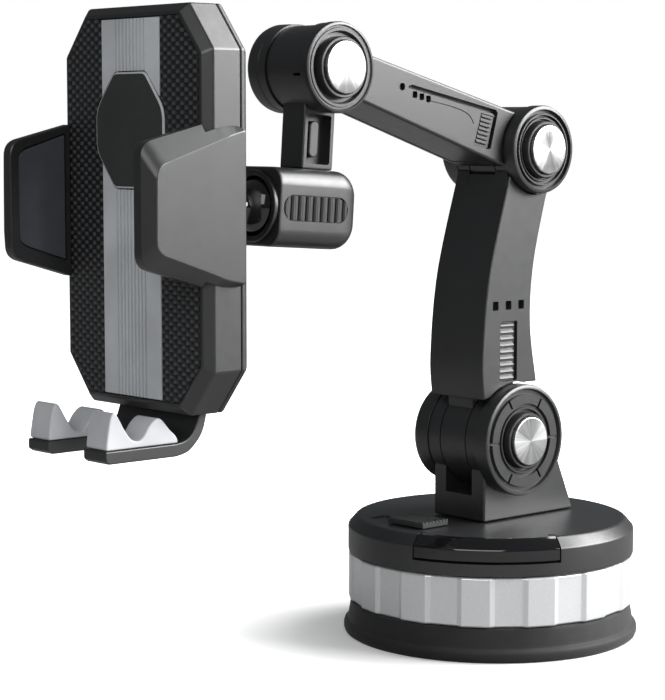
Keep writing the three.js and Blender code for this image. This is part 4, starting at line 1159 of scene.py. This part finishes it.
def make_screws():
    for i, (x, z) in enumerate(SCREW_POSTS):
        profile = [
            (0, -131), (1.0, -131), (1.1, -130.6), (1.1, -122.9), (2.4, -122.9), (2.4, -122.2),
            (2.1, -121.95), (0, -121.9),
        ]
        screw = turned("screw_head_%d" % (i + 1), profile, "Y", (x, z), 32)
        for w, h in ((1.4, 0.28), (0.28, 1.4)):
            cut(screw, cuboid("cross", x - w, x + w, -122.6, -120, z - h, z + h))
        place(screw, "clamp", STEEL, "steel", "clamp_screw_%d" % (i + 1))


# ---------- studio ----------
def area_light(name, position, target, width, height, power, colour=(1, 1, 1)):
    data = bpy.data.lights.new(name, "AREA")
    data.shape = "RECTANGLE"
    data.size = width
    data.size_y = height
    data.energy = power
    data.color = colour
    lamp = bpy.data.objects.new(name, data)
    lamp.location = position
    lamp.rotation_euler = (Vector(target) - Vector(position)).to_track_quat("-Z", "Y").to_euler()
    bpy.context.scene.collection.objects.link(lamp)


def camera_only(tree, seen, unseen):
    """Shows one shader to the camera and another to every other ray."""
    rays = tree.nodes.new("ShaderNodeLightPath")
    mix = tree.nodes.new("ShaderNodeMixShader")
    tree.links.new(rays.outputs["Is Camera Ray"], mix.inputs["Fac"])
    tree.links.new(unseen, mix.inputs[1])
    tree.links.new(seen, mix.inputs[2])
    return mix.outputs["Shader"]


def make_floor():
    """White paper. It glows more with distance from the base, so it fades into the white background."""
    reach = 6000
    corners = [(-reach, -reach, 0), (reach, -reach, 0), (reach, reach, 0), (-reach, reach, 0)]
    floor = mesh_object("floor", corners, [(0, 1, 2, 3)])
    paper = bpy.data.materials.new("floor_paper")
    paper.use_nodes = True
    tree = paper.node_tree
    shader = tree.nodes["Principled BSDF"]
    shader.inputs["Base Color"].default_value = (0.9, 0.9, 0.9, 1)
    shader.inputs["Roughness"].default_value = 0.9
    shader.inputs["Specular IOR Level"].default_value = 0.1
    shader.inputs["Emission Color"].default_value = (1, 1, 1, 1)
    position = add_node(paper, "ShaderNodeTexCoord")
    radius = add_node(paper, "ShaderNodeVectorMath")
    radius.operation = "LENGTH"
    link(paper, position.outputs["Object"], radius.inputs[0])
    glow = add_node(paper, "ShaderNodeMapRange", From_Min=0.04, From_Max=0.11, To_Min=0.2, To_Max=0.95)
    glow.interpolation_type = "SMOOTHSTEP"
    link(paper, radius.outputs["Value"], glow.inputs["Value"])
    link(paper, glow.outputs["Result"], shader.inputs["Emission Strength"])
    dim = add_node(paper, "ShaderNodeBsdfDiffuse")
    dim.inputs["Color"].default_value = (0.3, 0.3, 0.3, 1)
    output = tree.nodes["Material Output"]
    link(paper, camera_only(tree, shader.outputs["BSDF"], dim.outputs["BSDF"]), output.inputs["Surface"])
    floor.data.materials.append(paper)


def make_studio():
    make_floor()
    middle = (0, -0.05, 0.11)
    area_light("key", (1.0, 0.95, 0.72), middle, 1.4, 0.85, 50)
    area_light("top_back", (0.3, 0.72, 1.0), middle, 0.6, 0.6, 9)
    area_light("front", (0.75, -1.1, 0.85), middle, 1.0, 1.0, 8)
    world = bpy.data.worlds.new("studio")
    world.use_nodes = True
    tree = world.node_tree
    tree.nodes.clear()
    seen = tree.nodes.new("ShaderNodeBackground")
    seen.inputs["Color"].default_value = (1, 1, 1, 1)
    unseen = tree.nodes.new("ShaderNodeBackground")
    unseen.inputs["Color"].default_value = (0.92, 0.96, 1, 1)
    unseen.inputs["Strength"].default_value = 0.11
    out = tree.nodes.new("ShaderNodeOutputWorld")
    mixed = camera_only(tree, seen.outputs["Background"], unseen.outputs["Background"])
    tree.links.new(mixed, out.inputs["Surface"])
    bpy.context.scene.world = world
    bpy.context.scene.view_settings.view_transform = "Standard"


def make_camera():
    data = bpy.data.cameras.new("camera")
    data.lens = 112.0
    data.sensor_width = 36.0
    data.clip_end = 50.0
    camera = bpy.data.objects.new("camera", data)
    camera.location = (0.46041, -0.47767, 0.15387)
    camera.rotation_euler = (math.radians(90 - 5.79), 0, math.radians(48.143))
    bpy.context.scene.collection.objects.link(camera)
    bpy.context.scene.camera = camera


make_camera()
make_suction_cup()
make_grip_ring()
make_top_cover()
make_lock_lever()
make_lock_slider()
make_turret()
LOWER_STEPS = [
    (0.925, 0), (0.905, 1.0), (0.84, 1.0), (0.83, 0.1), (0.66, 0.1), (0.65, 1.0), (0.605, 1.0),
    (0.595, 0.35), (0.565, 0.35), (0.555, 1.6),
]
RING_STEPS = [
    (0.91, 0), (0.895, 1.3), (0.825, 1.3), (0.815, 0.2), (0.785, 0.2), (0.775, 1.3), (0.735, 1.3),
    (0.725, 0.5), (0.695, 0.5), (0.685, 1.6),
]
WRIST_STEPS = [(0.93, 0), (0.91, 0.5), (0.87, 0.5), (0.86, 0.2), (0.8, 0.2), (0.76, 1.6)]
make_hinge("lower_hinge", "turret", LOWER, LOWER_STEPS, spokes=6)
make_hinge("elbow", "lower_arm", ELBOW, RING_STEPS)
make_hinge("wrist", "upper_arm", WRIST, WRIST_STEPS)
make_lower_arm()
make_upper_arm()
make_neck()
make_barrel()
make_ball()
make_front_shell()
make_back_shell()
make_panels()
make_stripes()
make_trigger()
make_jaw("right", 1)
make_jaw("left", -1)
make_foot()
make_screws()
for hidden, finish in (
    ("base_housing", DARK), ("lock_keeper", DARK), ("swivel_disc", STEEL), ("pull_rod", STEEL),
    ("pinion", PALE_PLASTIC_AND_HIGHLIGHT),
):
    dress(hidden, finish)
make_studio()
